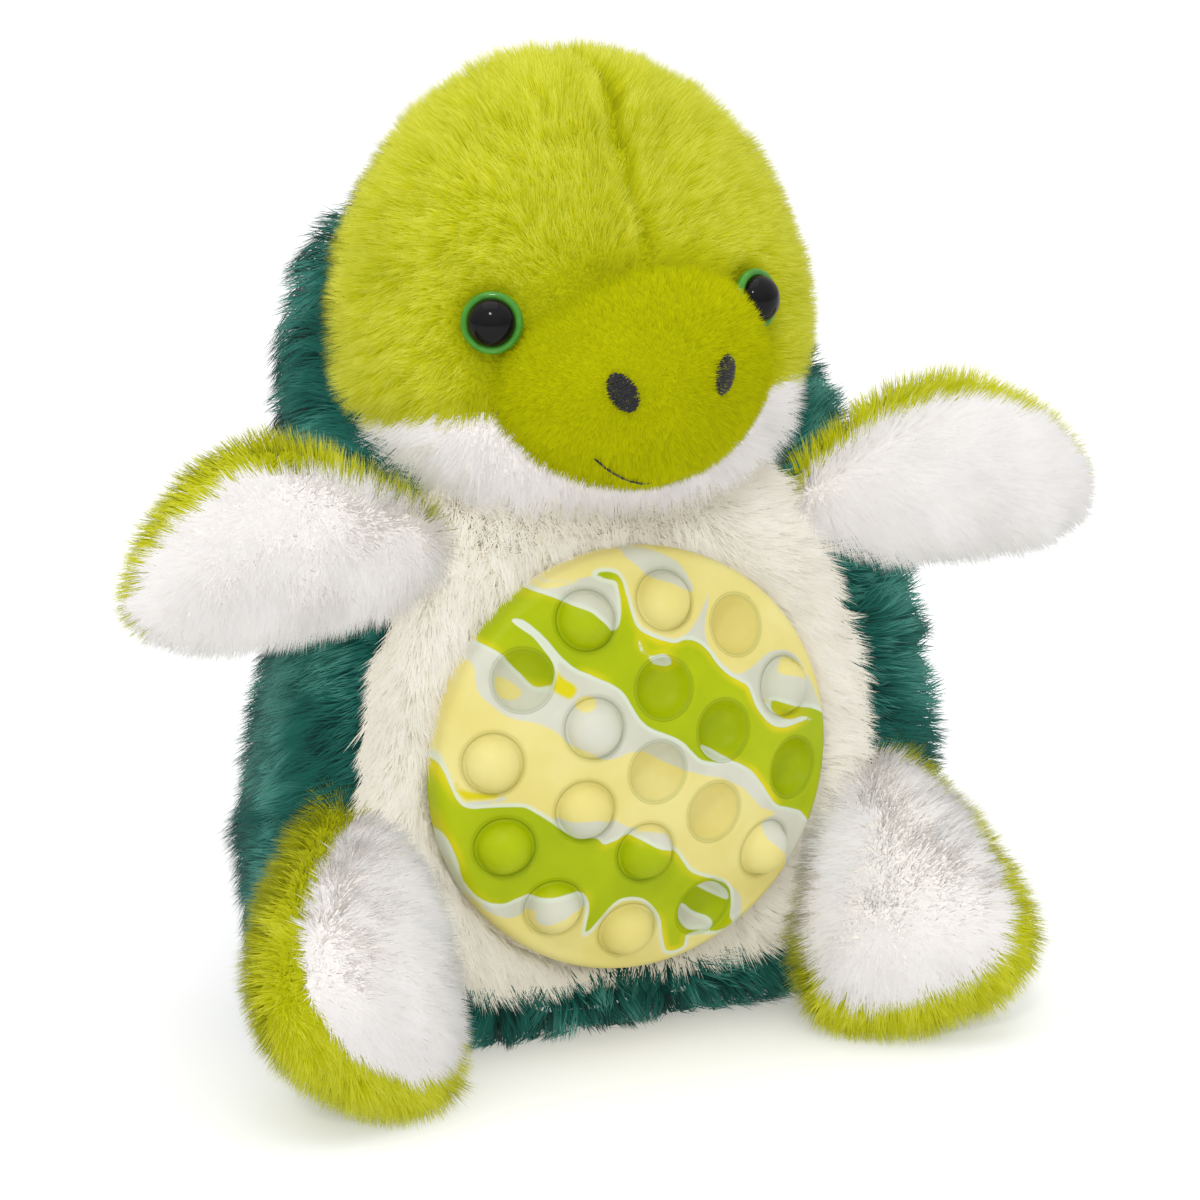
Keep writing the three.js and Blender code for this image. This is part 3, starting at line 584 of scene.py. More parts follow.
# marbled silicone: the outlines of the colours are kept as distances at each point of the disc
def silicone():
    m, nt, b = principled("marbled_silicone", 0.42, 0.14)

    def attr(name):
        a = nt.nodes.new("ShaderNodeAttribute")
        a.attribute_name = name
        return a.outputs["Fac"]

    def inside(d, soft, shift=0.0):
        # 1 inside, 0 outside
        n = nt.nodes.new("ShaderNodeMapRange")
        n.interpolation_type = "SMOOTHSTEP"
        n.inputs["From Min"].default_value = soft + shift
        n.inputs["From Max"].default_value = -soft + shift
        nt.links.new(d, n.inputs["Value"])
        return n.outputs[0]

    place = nt.nodes.new("ShaderNodeAttribute")
    place.attribute_name = "place"
    small = noise(nt, 0.16, 3, 0.55, place.outputs["Vector"])
    wob = math_node(nt, "MULTIPLY", math_node(nt, "SUBTRACT", small, 0.5), 0.5)
    g = math_node(nt, "ADD", attr("sd_green"), wob)
    w = math_node(nt, "ADD", attr("sd_white"), wob)
    y = math_node(nt, "ADD", math_node(nt, "ADD", attr("sd_mustard"), 0.55), wob)
    cloudy = noise(nt, 0.05, 3, 0.5, place.outputs["Vector"])
    yellow = ramp(nt, [(0.3, lin(213, 200, 117)), (0.7, lin(220, 209, 137))])
    nt.links.new(cloudy, yellow.inputs[0])
    green = ramp(nt, [(0.3, lin(151, 169, 0)), (0.7, lin(167, 181, 3))])
    nt.links.new(cloudy, green.inputs[0])
    white = ramp(nt, [(0.3, lin(191, 192, 172)), (0.7, lin(204, 204, 190))])
    nt.links.new(cloudy, white.inputs[0])
    mustard = lin(205, 194, 22)
    c = mix(nt, inside(w, 0.28), yellow.outputs[0], white.outputs[0])
    # pale rim just outside the green, with a trace of the green in it
    rim = inside(g, 0.4, 0.95)
    c = mix(nt, math_node(nt, "MULTIPLY", rim, 0.85), c, lin(202, 210, 192))
    c = mix(nt, inside(y, 0.5), c, mustard)
    c = mix(nt, inside(g, 0.16), c, green.outputs[0])
    # yellower fringe within the green here and there
    fringe = math_node(nt, "MULTIPLY", inside(g, 0.2), math_node(nt, "SUBTRACT", 1.0, inside(g, 0.9, -1.2)))
    place_n = noise(nt, 0.045, 1, 0.5, place.outputs["Vector"])
    patchy = nt.nodes.new("ShaderNodeMapRange")
    patchy.inputs["From Min"].default_value, patchy.inputs["From Max"].default_value = 0.45, 0.62
    nt.links.new(place_n, patchy.inputs["Value"])
    c = mix(nt, math_node(nt, "MULTIPLY", fringe, patchy.outputs[0]), c, mustard)
    # painted shade in the grooves round the bubbles: the colour is darkened there
    deep = attr("groove_shade")
    c = mix(nt, math_node(nt, "MULTIPLY", deep, 0.7), c, mix(nt, 1.0, c, lin(186, 196, 164), "MULTIPLY"))
    nt.links.new(c, b.inputs["Base Color"])
    tiny = noise(nt, 2.5, 2, 0.5, place.outputs["Vector"])
    bump(nt, b, tiny, 0.06, 0.0002)
    return m


def outline(px):
    """A closed smooth outline from a few points, in the frame of the marbling."""
    p = np.array(px, float)
    p = np.stack([p[:, 0] / 12 - 53 + 1.8, 53 - p[:, 1] / 12 - 1.2], 1)
    a, b, c, d = np.roll(p, 1, 0), p, np.roll(p, -1, 0), np.roll(p, -2, 0)
    out = []
    for t in (0, 0.25, 0.5, 0.75):
        out.append(0.5 * (2 * b + (c - a) * t + (2 * a - 5 * b + 4 * c - d) * t ** 2 + (3 * b - a - 3 * c + d) * t ** 3))
    return np.stack(out, 1).reshape(-1, 2)


def signed(P, poly):
    """Distance to the outline, negative inside."""
    a, b = poly, np.roll(poly, -1, 0)
    best = np.full(len(P), 1e9)
    wind = np.zeros(len(P), bool)
    for p, q in zip(a, b):
        e = q - p
        L = e @ e
        if L < 1e-12:
            continue
        t = np.clip(((P - p) @ e) / L, 0, 1)
        d = P - p - t[:, None] * e
        best = np.minimum(best, np.einsum("ij,ij->i", d, d))
        c1 = (p[1] <= P[:, 1]) & (q[1] > P[:, 1])
        c2 = (q[1] <= P[:, 1]) & (p[1] > P[:, 1])
        side = e[0] * (P[:, 1] - p[1]) - e[1] * (P[:, 0] - p[0])
        wind ^= (c1 & (side > 0)) | (c2 & (side < 0))
    best = np.sqrt(best)
    return np.where(wind, -best, best)


GREEN = [outline(s) for s in (
    # upper band with its tongue and the white slit on the left
    [(-40, 395), (40, 366), (75, 341), (120, 331), (160, 327), (205, 319), (260, 329), (306, 338), (323, 320), (318, 282), (303, 247),
     (289, 226), (275, 208), (250, 213), (213, 219), (228, 204), (248, 194), (270, 190), (292, 201), (314, 229), (335, 255), (356, 280),
     (382, 297), (425, 298), (470, 291), (500, 282), (522, 262), (560, 250), (600, 257), (640, 276), (685, 288), (740, 290), (772, 293),
     (800, 314), (830, 334), (870, 350), (910, 354), (950, 345), (980, 326), (1010, 303), (1045, 287), (1105, 286), (1150, 350),
     (1185, 430), (1230, 545), (1190, 540), (1150, 530), (1100, 536), (1050, 546), (1000, 531), (950, 511), (900, 496), (850, 494),
     (800, 502), (770, 522), (720, 535), (680, 526), (640, 516), (600, 516), (540, 523), (500, 518), (460, 500), (420, 476),
     (380, 467), (300, 471), (255, 474), (200, 460), (150, 438), (110, 427), (75, 423), (56, 430), (56, 442), (82, 447),
     (122, 453), (160, 470), (196, 490), (216, 520), (221, 552), (204, 571), (160, 556), (100, 541), (60, 533), (0, 531), (-40, 531)],
    [(862, 292), (900, 283), (960, 275), (1000, 265), (1035, 256), (1090, 255), (1125, 275), (1090, 283), (1040, 283), (1002, 291), (975, 308), (938, 321), (890, 318), (868, 305)],
    # lower band with its drips
    [(-40, 800), (0, 815), (30, 842), (60, 872), (100, 905), (145, 940), (185, 952), (240, 922), (290, 892), (330, 877), (400, 881),
     (440, 886), (500, 888), (545, 864), (577, 870), (592, 858), (606, 842), (625, 815), (655, 811), (700, 811), (750, 801), (785, 797),
     (808, 801), (840, 815), (880, 827), (930, 824), (980, 815), (1020, 814), (1052, 826), (1082, 856), (1107, 890), (1130, 902),
     (1118, 925), (1085, 947), (1040, 963), (1012, 982), (1000, 998), (1015, 1016), (1009, 1036), (975, 1057), (940, 1035), (900, 1000),
     (870, 977), (830, 961), (780, 955), (736, 972), (712, 1002), (704, 1052), (700, 1104), (693, 1112), (670, 1072), (642, 1032),
     (607, 1016), (560, 1034), (520, 1064), (487, 1083), (470, 1088), (450, 1117), (430, 1143), (390, 1158), (350, 1155), (300, 1135),
     (270, 1110), (250, 1092), (200, 1055), (150, 1022), (100, 985), (50, 930), (0, 872), (-40, 850)],
)]
WHITE = [outline(s) for s in (
    [(268, 128), (330, 88), (400, 77), (452, 88), (500, 130), (440, 138), (400, 141), (355, 152), (318, 142)],
    [(55, 348), (100, 298), (160, 262), (205, 228), (240, 222), (285, 228), (316, 280), (322, 320), (300, 342), (260, 333), (205, 323), (160, 331), (120, 335)],
    [(325, 245), (378, 288), (420, 288), (480, 280), (510, 262), (528, 230), (540, 180), (550, 108), (562, 180), (577, 220), (610, 250),
     (660, 270), (720, 275), (760, 240), (785, 200), (820, 165), (880, 145), (940, 160), (990, 190), (1040, 225), (1085, 252), (1040, 266),
     (1000, 280), (1040, 292), (1010, 308), (980, 332), (950, 352), (910, 361), (868, 357), (828, 341), (798, 321), (770, 299), (740, 296),
     (680, 294), (640, 282), (600, 263), (560, 256), (524, 268), (502, 288), (470, 298), (420, 304), (380, 303)],
    [(75, 423), (110, 424), (150, 434), (200, 456), (260, 470), (300, 467), (380, 463), (420, 472), (460, 497), (500, 514), (540, 519),
     (600, 511), (640, 511), (680, 521), (720, 531), (775, 517), (800, 498), (850, 489), (900, 491), (950, 507), (1000, 527), (1050, 541),
     (1100, 531), (1150, 525), (1230, 540), (1230, 700), (1190, 673), (1140, 662), (1080, 651), (1040, 640), (1032, 602), (1060, 567),
     (1000, 574), (950, 562), (900, 550), (860, 550), (800, 557), (740, 573), (700, 581), (650, 587), (600, 588), (545, 592), (505, 612),
     (478, 642), (440, 662), (400, 661), (340, 668), (300, 655), (230, 657), (160, 677), (100, 670), (50, 650), (18, 600), (-25, 545),
     (-25, 527), (0, 528), (60, 530), (100, 538), (160, 552), (205, 570), (222, 556), (217, 520), (196, 489), (160, 467), (120, 450), (80, 444), (57, 440)],
    [(408, 868), (440, 850), (470, 830), (500, 815), (560, 811), (570, 850), (540, 864), (500, 880), (440, 884)],
    [(638, 812), (655, 790), (690, 774), (740, 764), (782, 790), (755, 802), (700, 813), (652, 817)],
    [(560, 800), (566, 850), (580, 872), (600, 842), (624, 812), (650, 790), (610, 795)],
    [(1040, 812), (1085, 818), (1122, 842), (1145, 878), (1140, 905), (1112, 895), (1084, 860), (1056, 830)],
    [(380, 1160), (430, 1146), (455, 1117), (472, 1089), (487, 1081), (520, 1063), (560, 1033), (607, 1015), (642, 1042), (600, 1070),
     (570, 1110), (545, 1142), (518, 1140), (500, 1118), (490, 1152), (470, 1172), (430, 1182), (390, 1178)],
    [(150, 1033), (200, 1060), (250, 1078), (296, 1092), (255, 1100), (200, 1087), (150, 1057)],
)]
OVER = [outline(s) for s in (      # white that lies over the green
    [(935, 850), (950, 830), (990, 820), (1040, 828), (1062, 850), (1020, 856), (970, 856)],
    [(915, 925), (960, 917), (1010, 924), (1056, 920), (1066, 945), (1030, 966), (990, 976), (950, 962), (925, 946)],
    [(385, 300), (402, 330), (440, 346), (480, 322), (520, 336), (516, 352), (470, 362), (430, 352), (400, 340)],
    [(700, 500), (760, 494), (830, 498), (800, 512), (760, 521), (722, 515)],
    [(175, 942), (200, 922), (235, 900), (250, 880), (262, 876), (250, 900), (215, 930), (186, 950)],
)]
PALE = [outline(s) for s in (      # yellow that lies over the white
    [(835, 202), (858, 170), (910, 159), (962, 175), (945, 192), (890, 201), (842, 217)],
    [(88, 597), (130, 588), (182, 597), (172, 626), (130, 641), (98, 626)],
    [(300, 560), (312, 532), (348, 522), (340, 545), (318, 572)],
    [(75, 330), (120, 288), (180, 258), (150, 282), (110, 314)],
)]
MUSTARD = [outline(s) for s in (
    [(198, 488), (236, 506), (282, 511), (295, 530), (286, 561), (242, 566), (222, 557), (216, 520)],
    [(100, 885), (150, 905), (200, 890), (244, 872), (240, 895), (200, 925), (170, 940), (130, 925)],
    [(835, 300), (860, 292), (862, 305), (850, 312)],
)]
TURN = math.radians(-32)


def marble(x, y):
    P = np.stack([x * math.cos(TURN) + y * math.sin(TURN), -x * math.sin(TURN) + y * math.cos(TURN)], 1)
    near = lambda shapes: np.min([signed(P, s) for s in shapes], 0)
    g, w, o, p, m = near(GREEN), near(WHITE), near(OVER), near(PALE), near(MUSTARD)
    g = np.maximum(g, -o)
    w = np.minimum(np.maximum(w, -p), o)
    return g, w, m


def put_marble(ob, x, y, groove_shade):
    g, w, m = marble(x, y)
    me = ob.data
    for name, v in (("sd_green", g), ("sd_white", w), ("sd_mustard", m), ("groove_shade", groove_shade)):
        me.attributes.new(name, "FLOAT", "POINT").data.foreach_set("value", v.astype(np.float32))
    a = me.attributes.new("place", "FLOAT_VECTOR", "POINT")
    a.data.foreach_set("vector", np.stack([x, y, np.zeros_like(x)], 1).astype(np.float32).ravel())


# ------------------------------------------------------------------ pile
def triangle_sample(V, N, T, n, rng, density=None):
    A, B, C = V[T[:, 0]], V[T[:, 1]], V[T[:, 2]]
    area = np.linalg.norm(np.cross(B - A, C - A), axis=1)
    if density is not None:
        area = area * density((A + B + C) / 3)
    pick = rng.choice(len(T), n, p=area / area.sum())
    u, v = rng.random(n), rng.random(n)
    m = u + v > 1
    u[m], v[m] = 1 - u[m], 1 - v[m]
    w = 1 - u - v
    T = T[pick]
    P = V[T[:, 0]] * w[:, None] + V[T[:, 1]] * u[:, None] + V[T[:, 2]] * v[:, None]
    M = unit(N[T[:, 0]] * w[:, None] + N[T[:, 1]] * u[:, None] + N[T[:, 2]] * v[:, None])
    return P, M


PILE = []


def clear_of(P, avoid):
    """Which points lie outside the other pieces, and how close each comes to one."""
    keep, close = np.ones(len(P), bool), np.zeros(len(P))
    for n, margin in avoid.items():
        d = depth_in(TREES[n][0], P, TREES[n][1], 10.0)
        keep &= d < margin
        close = np.maximum(close, smooth(d, -8.0, 1.0))
    return keep, close


def pile(name, body, kind, V, N, T, count, length, width, flow, lean=(30, 62), clump=(26, 0.6), seed=1, keep=None, density=None,
         scale=None, wave=0.45, hold=None, floor=False, own=0.2, spike=False, avoid=None, shade=None, soft=1.0, stray=0.25):
    """Strands of pile on the surface V, T with the normals N, rooted in the backing.
    Each is a bent tapering ribbon, or with spike a straight one that tapers all the way."""
    rng = np.random.default_rng(seed)
    n = int(count * DENSITY)
    width = width / math.sqrt(DENSITY)
    P, M = triangle_sample(V, N, T, n, rng, density)
    # dark is painted shade: strands rooted close to another piece, or where a shade mask marks a crease, seam or
    # hollow, keep more of their darker root colour
    dark = np.zeros(n)
    if keep is not None:
        k = keep(P)
        P, M, dark = P[k], M[k], dark[k]
    if avoid:
        k, close = clear_of(P, avoid)
        P, M, dark = P[k], M[k], close[k] * 0.7
    if shade is not None:
        dark = np.maximum(dark, shade(P))
    n = len(P)
    L = length * (0.78 + 0.44 * rng.random(n)) * (1 + 0.14 * noise3(P, 9, 3.1))
    if scale is not None:
        L *= scale(P)
    t = flow(P, M)
    t = t - M * np.einsum("ij,ij->i", t, M)[:, None]
    t = unit(t + 1e-6)
    side = np.cross(M, t)
    swirl = wave * (noise3(P, 16, 7.7) + 0.8 * noise3(P, 5, 1.3)) + stray * rng.standard_normal(n)
    t = t * np.cos(swirl)[:, None] + side * np.sin(swirl)[:, None]
    a0 = np.radians(lean[0] + 10 * noise3(P, 7, 5.5) + 9 * rng.standard_normal(n))[:, None]
    a1 = np.radians(lean[1] + 12 * noise3(P, 7, 9.5) + 12 * rng.standard_normal(n))[:, None]
    p0 = P - M * 0.5
    p1 = p0 + (L * 0.5)[:, None] * (M * np.cos(a0) + t * np.sin(a0))
    p2 = p1 + (L * 0.5)[:, None] * (M * np.cos(a1) + t * np.sin(a1))
    # tufts
    m = max(8, n // clump[0])
    seeds = rng.choice(n, m, replace=False)
    kd = kdtree.KDTree(m)
    for i, s in enumerate(seeds):
        kd.insert(P[s], i)
    kd.balance()
    tuft = np.array([kd.find(p)[1] for p in P])
    c = seeds[tuft]
    d = P - P[c]
    k2 = (clump[1] * (0.6 + 0.55 * rng.random(n)) * (0.75 + 0.35 * noise3(P, 20, 2.2)))[:, None]
    k2 = np.clip(k2, 0, 0.95)
    p1 = p1 + (p1[c] + 0.8 * d - p1) * k2 * 0.6
    p2 = p2 + (p2[c] + 0.3 * d - p2) * k2
    if hold is not None:
        p1, p2 = hold(P, p1), hold(P, p2)
    if floor:
        for q in (p0, p1, p2):
            low = 0.25 + 0.7 * rng.random(n)
            q[:, 2] = np.maximum(q[:, 2], low)
    tint = 0.5 + soft * (0.20 * noise3(P, 14, 4.4) + 0.17 * (rng.random(m)[tuft] - 0.5) * 2 + 0.15 * rng.standard_normal(n))
    tint = np.clip(tint, 0.02, 0.98)
    roll = (0.35 * rng.standard_normal(n))[:, None]
    # each strand is turned so that its face looks away from the coat, and a little to the toy's front or back
    front = np.zeros_like(M)
    front[:, 1] = 0.9 * np.clip((M[:, 1] - 0.2 * np.maximum(M[:, 2], 0)) / 0.45, -1, 1)
    front[:, 2] = 0.2
    face = unit(M + front)

    def across(d):
        s = unit(np.cross(d, face) + 1e-6)
        q = np.cross(s, d)
        w = s * np.cos(roll) + q * np.sin(roll)
        return w * np.where(np.einsum("ij,ij->i", np.cross(w, d), face) < 0, -1.0, 1.0)[:, None]
    W = (width * (0.75 + 0.5 * rng.random(n)))[:, None]
    if spike:
        d = unit(p2 - p0)
        w = across(d)
        co = np.stack([p0 - w * W * 0.5, p0 + w * W * 0.5, p2], 1)
        corner, height = np.array([0, 1, 2]), np.array([0, 0, 1.0])
        size = np.array([0, 3])
        tips = [2]
    else:
        d = unit(p2 - p1)
        w0, w1 = across(unit(p1 - p0)), across(d)
        w0 *= np.where(np.einsum("ij,ij->i", w0, w1) < 0, -1.0, 1.0)[:, None]
        w = w1
        co = np.stack([p0 - w0 * W * 0.5, p0 + w0 * W * 0.5, p1 - w1 * W * 0.45, p1 + w1 * W * 0.45, p2], 1)
        corner, height = np.array([0, 1, 3, 2, 2, 3, 4]), np.array([0, 0, 0.5, 0.5, 0.5, 0.5, 1.0])
        size = np.array([0, 4])
        tips = [4]
    # soft shading: mostly the normal of the coat, partly the strand's own
    rn = unit(np.cross(w, d))
    rn *= np.where(np.einsum("ij,ij->i", rn, M) < 0, -1.0, 1.0)[:, None]
    base_n = unit(M * (1 - own) + rn * own)
    tip_n = unit(M * (1 - own) + rn * own * 0.6 + d * 0.18)
    nrm = np.repeat(base_n[:, None], co.shape[1], 1)
    for k in tips:
        nrm[:, k] = tip_n
    nrm = nrm.reshape(-1, 3)
    points, corners = co.shape[1], len(corner)
    co = co.reshape(-1, 3) * MM
    loops = ((np.arange(n) * points)[:, None] + corner).ravel()
    starts = (np.arange(n) * corners)[:, None] + (size[:1] if spike else size)
    starts = starts.ravel()
    me = bpy.data.meshes.new(name)
    me.vertices.add(len(co))
    me.vertices.foreach_set("co", co.astype(np.float32).ravel())
    me.loops.add(len(loops))
    me.loops.foreach_set("vertex_index", loops.astype(np.int32))
    me.polygons.add(len(starts))
    me.polygons.foreach_set("loop_start", starts.astype(np.int32))
    me.polygons.foreach_set("use_smooth", np.ones(len(starts), bool))
    uv = me.uv_layers.new(name="OFBake")
    u = tint[:, None] * 0.97 + 0.01 + np.array([0, 0.006, 0.003] if spike else [0, 0.006, 0.006, 0, 0, 0.006, 0.003])
    # painted shade: a darkened strand takes only the lower, darker part of its root-to-tip colour ramp
    v = height[None] * (1 - 0.8 * np.clip(dark, 0, 1))[:, None]
    uv.data.foreach_set("uv", np.stack([u, v], 2).astype(np.float32).ravel())
    me.update(calc_edges=True)
    me.normals_split_custom_set_from_vertices(nrm)
    me.materials.append(FUR[kind])
    ob = link(bpy.data.objects.new(name, me))
    ob.visible_shadow = ob.visible_diffuse = False
    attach(ob, body)
    PILE.append((name, n))
    return ob


def skin(name, body, kind, V, F, node, thick=1.1):
    ob = new_mesh(name, V, F)
    m = ob.modifiers.new("thickness", "SOLIDIFY")
    m.thickness, m.offset, m.use_even_offset = thick * MM, -1.0, False
    ob.data.materials.append(BACKING[kind])
    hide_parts(node)
    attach(ob, body)
    return ob


def filling(name, body, V, F, depth, node, rough=1.2):
    N = normals(V, F)
    W = V - N * (depth + rough * (0.5 + 0.5 * noise3(V, 6, 2.0)))[:, None]
    ob = new_mesh(name, W, F)
    ob.data.materials.append(FLUFF)
    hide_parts(node)
    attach(ob, body)
    return ob


FLUFF = fluff_material()


def tree(V, F):
    return BVHTree.FromPolygons([tuple(p) for p in V], F)


def depth_in(bvh, P, box, pad=8.0):
    """How deep each point lies inside the closed surface; negative outside or far away."""
    lo, hi = box
    out = np.full(len(P), -99.0)
    near = np.all((P > lo - pad) & (P < hi + pad), 1)
    for i in np.nonzero(near)[0]:
        q, nn, _, _ = bvh.find_nearest(P[i])
        out[i] = -(Vector(P[i]) - q).dot(nn)
    return out


# ------------------------------------------------------------------ camera, light, floor
def stage():
    sc = bpy.context.scene
    cam = bpy.data.objects.new("camera", bpy.data.cameras.new("camera"))
    link(cam)
    cam.data.lens, cam.data.sensor_width = 127.5, 36
    cam.data.clip_start, cam.data.clip_end = 0.05, 50
    cam.location = (-0.42741, -0.89539, 0.36118)
    target = Vector((-0.003976, -0.027220, 0.102364))
    cam.rotation_euler = (target - cam.location).to_track_quat("-Z", "Y").to_euler()
    sc.camera = cam

    me = bpy.data.meshes.new("floor")
    s = 6.0
    me.from_pydata([(-s, -s, 0), (s, -s, 0), (s, s, 0), (-s, s, 0)], [], [(0, 1, 2, 3)])
    floor = link(bpy.data.objects.new("floor", me))
    m, nt, b = principled("floor", 0.85, 0.1)
    n = noise(nt, 3, 2, 0.5)
    r = ramp(nt, [(0.0, (0.93, 0.93, 0.93, 1)), (1.0, (0.96, 0.96, 0.96, 1))])
    nt.links.new(n, r.inputs[0])
    nt.links.new(r.outputs[0], b.inputs["Base Color"])
    me.materials.append(m)

    def area(name, loc, size, power, aim=(0, 0, 0.11), colour=(1, 1, 1)):
        l = bpy.data.lights.new(name, "AREA")
        l.shape, l.size, l.energy, l.color = "SQUARE", size, power, colour
        o = link(bpy.data.objects.new(name, l))
        o.location = loc
        o.rotation_euler = (Vector(aim) - Vector(loc)).to_track_quat("-Z", "Y").to_euler()
        return o
    area("key", (-1.0, -1.35, 1.7), 0.30, 9.5)
    area("top", (-0.2, 0.1, 2.0), 1.6, 6.5)
    area("low", (-0.35, -1.7, 0.16), 1.1, 3.0, aim=(0, 0, 0.10)).visible_glossy = False
    w = bpy.data.worlds.new("world")
    sc.world = w
    w.use_nodes = True
    nt = w.node_tree
    bg = nt.nodes["Background"]
    bg.inputs[0].default_value = (1, 1, 1, 1)
    # a bright ceiling over darker walls
    sep = nt.nodes.new("ShaderNodeSeparateXYZ")
    nt.links.new(nt.nodes.new("ShaderNodeTexCoord").outputs["Generated"], sep.inputs[0])
    mr = nt.nodes.new("ShaderNodeMapRange")
    mr.inputs["From Min"].default_value, mr.inputs["From Max"].default_value = 0.0, 1.0
    mr.inputs["To Min"].default_value, mr.inputs["To Max"].default_value = 0.62, 1.30
    nt.links.new(sep.outputs[2], mr.inputs["Value"])
    nt.links.new(mr.outputs[0], bg.inputs[1])
    sc.view_settings.view_transform = "Standard"
    sc.view_settings.look = "None"
    sc.view_settings.exposure = 0.0


stage()

# ------------------------------------------------------------------ base surfaces
res = 1.0
bodyV, bodyF = slice_blob(BODY_ROWS, int(90 * res), int(140 * res), 3.2, 2.15, flatten)
headV, headF = slice_blob(HEAD_ROWS, int(70 * res), int(110 * res), 2.1, 2.1)


def inset(V, F, depth):
    N = normals(V, F)
    d = depth(V) if callable(depth) else depth
    return V - N * np.reshape(d, (-1, 1)) if callable(depth) else V - N * d


def body_depth(V):
    x, y, h = disc_local(V)
    r = np.where(V[:, 1] < 0, np.hypot(x, y), 999)
    d = 1.0 + (BODY_DEPTH - 1.0) * smooth(r, 52, 66)
    return np.where(V[:, 2] < 1.5, 1.6, d)


# seam lines, as signed distances in mm
def loop_through(pts, steps=6):
    """A closed smooth line through the points."""
    p = np.array(pts, float)
    a, b, c, d = np.roll(p, 1, 0), p, np.roll(p, -1, 0), np.roll(p, -2, 0)
    out = [0.5 * (2 * b + (c - a) * t + (2 * a - 5 * b + 4 * c - d) * t ** 2 + (3 * b - a - 3 * c + d) * t ** 3) for t in np.arange(steps) / steps]
    return np.stack(out, 1).reshape(-1, 2)


BELLY_LINE = loop_through([(BELLY_X + w, z) for z, w in BELLY_ROWS] + [(BELLY_X - w, z) for z, w in BELLY_ROWS[-2:0:-1]], 4)


def f_belly(P):
    q = signed(P[:, [0, 2]], BELLY_LINE)
    return np.where(P[:, 1] < BELLY_Y, q, np.maximum(q, P[:, 1] - BELLY_Y))


def f_base(P):
    q = (np.hypot(P[:, 0] / 54, (P[:, 1] - 3) / 31) - 1) * 40
    return np.where(P[:, 2] < 12, q, 30.0)


def f_mid(P):
    return P[:, 0] + 1e-4


def f_hole(P):
    x, y, h = disc_local(P)
    r = np.hypot(x, y)
    return np.where((P[:, 1] < -15), r - HOLE_R, 30.0)


def f_chin(P):
    return (P[:, 2] - CHIN_Z - CHIN_SLOPE * P[:, 1]) / math.hypot(1, CHIN_SLOPE)


def back_seam(P):
    return np.where((P[:, 1] > 5) | (P[:, 2] < 12), np.abs(P[:, 0]), 30.0)


def body_seams(P):
    return np.minimum(np.minimum(np.abs(f_belly(P)), np.abs(f_base(P))), back_seam(P))


def body_pin(P):
    s = np.exp(-(body_seams(P) / 4.5) ** 2)
    x, y, h = disc_local(P)
    r = np.hypot(x, y)
    s = np.maximum(s, np.where(P[:, 1] < -10, 1 - smooth(r, 50, 60), 0))
    s = np.maximum(s, 1 - smooth(P[:, 2], 3, 14))
    return s


V, F = bodyV.copy(), bodyF
V = inset(V, F, body_depth)
body_in = V.copy(), list(F)
V, F = settle("body_cloth", V, F, 5.0, body_pin, 4.0)
for fn in (f_belly, f_base, f_mid, f_hole):
    V, F = cut(V, F, fn)
N = normals(V, F)
sd = body_seams(V)
V = V - N * (2.2 * np.exp(-(sd / 4.0) ** 2) * smooth(V[:, 2], 1, 10))[:, None]
V[:, 2] = np.maximum(V[:, 2], 1.2)
N = normals(V, F)
bodyV2, bodyF2, bodyN = V, F, N
C = centres(V, F)
in_belly, in_base, in_hole = f_belly(C) < 0, f_base(C) < 0, f_hole(C) < 0
left = C[:, 0] < 0
regions = {
    "belly": in_belly & ~in_hole,
    "base": in_base & ~in_belly,
    "shell_left": ~in_belly & ~in_base & left,
    "shell_right": ~in_belly & ~in_base & ~left,
}

# head
def head_pin(P):
    s = np.exp(-(f_chin(P) / 4.0) ** 2)
    s = np.maximum(s, np.where(P[:, 2] > 150, 0.4 * np.exp(-(P[:, 0] / 3.0) ** 2), 0))
    s = np.maximum(s, 1 - smooth(P[:, 2], 122, 132))
    return s


def pivots():
    """Each eye's centre on the coat and its outward axis, from its own ring in the frame."""
    out = {}
    for s in ("left", "right"):
        me = NODES[f"eye_ring_{s}"].data
        co = np.unique(np.round(np.array([v.co for v in me.vertices]) * 1000, 3), axis=0)
        c = (co.min(0) + co.max(0)) / 2
        c = co.mean(0)
        n = np.linalg.svd(co - c)[2][2]
        if n @ (c - np.array([0, 0, 165])) < 0:
            n = -n
        h = (co - c) @ n
        out[s] = (c + n * (h.min() + 1.2), n)
    return out


EYES = pivots()
HV, HF = inset(headV, headF, HEAD_DEPTH), headF
HV, HF = settle("head_cloth", HV, HF, 4.5, head_pin, 3.0)
for fn in (f_mid, f_chin):
    HV, HF = cut(HV, HF, fn)
HN = normals(HV, HF)
crown = np.where((HV[:, 2] > CHIN_Z + 2), np.exp(-(HV[:, 0] / 1.8) ** 2), 0)
dip = 1.1 * crown + 2.4 * np.exp(-(f_chin(HV) / 3.6) ** 2)
for c, n in EYES.values():
    r = np.linalg.norm(HV - c, axis=1)
    dip = dip + 2.2 * np.exp(-(r / 9.0) ** 2)
HV = HV - HN * dip[:, None]
HN = normals(HV, HF)
HC = centres(HV, HF)
low, hleft = f_chin(HC) < 0, HC[:, 0] < 0

# snout
def snout_lean(Z):
    return SNOUT_LEAN * np.maximum(Z, 0) ** 2


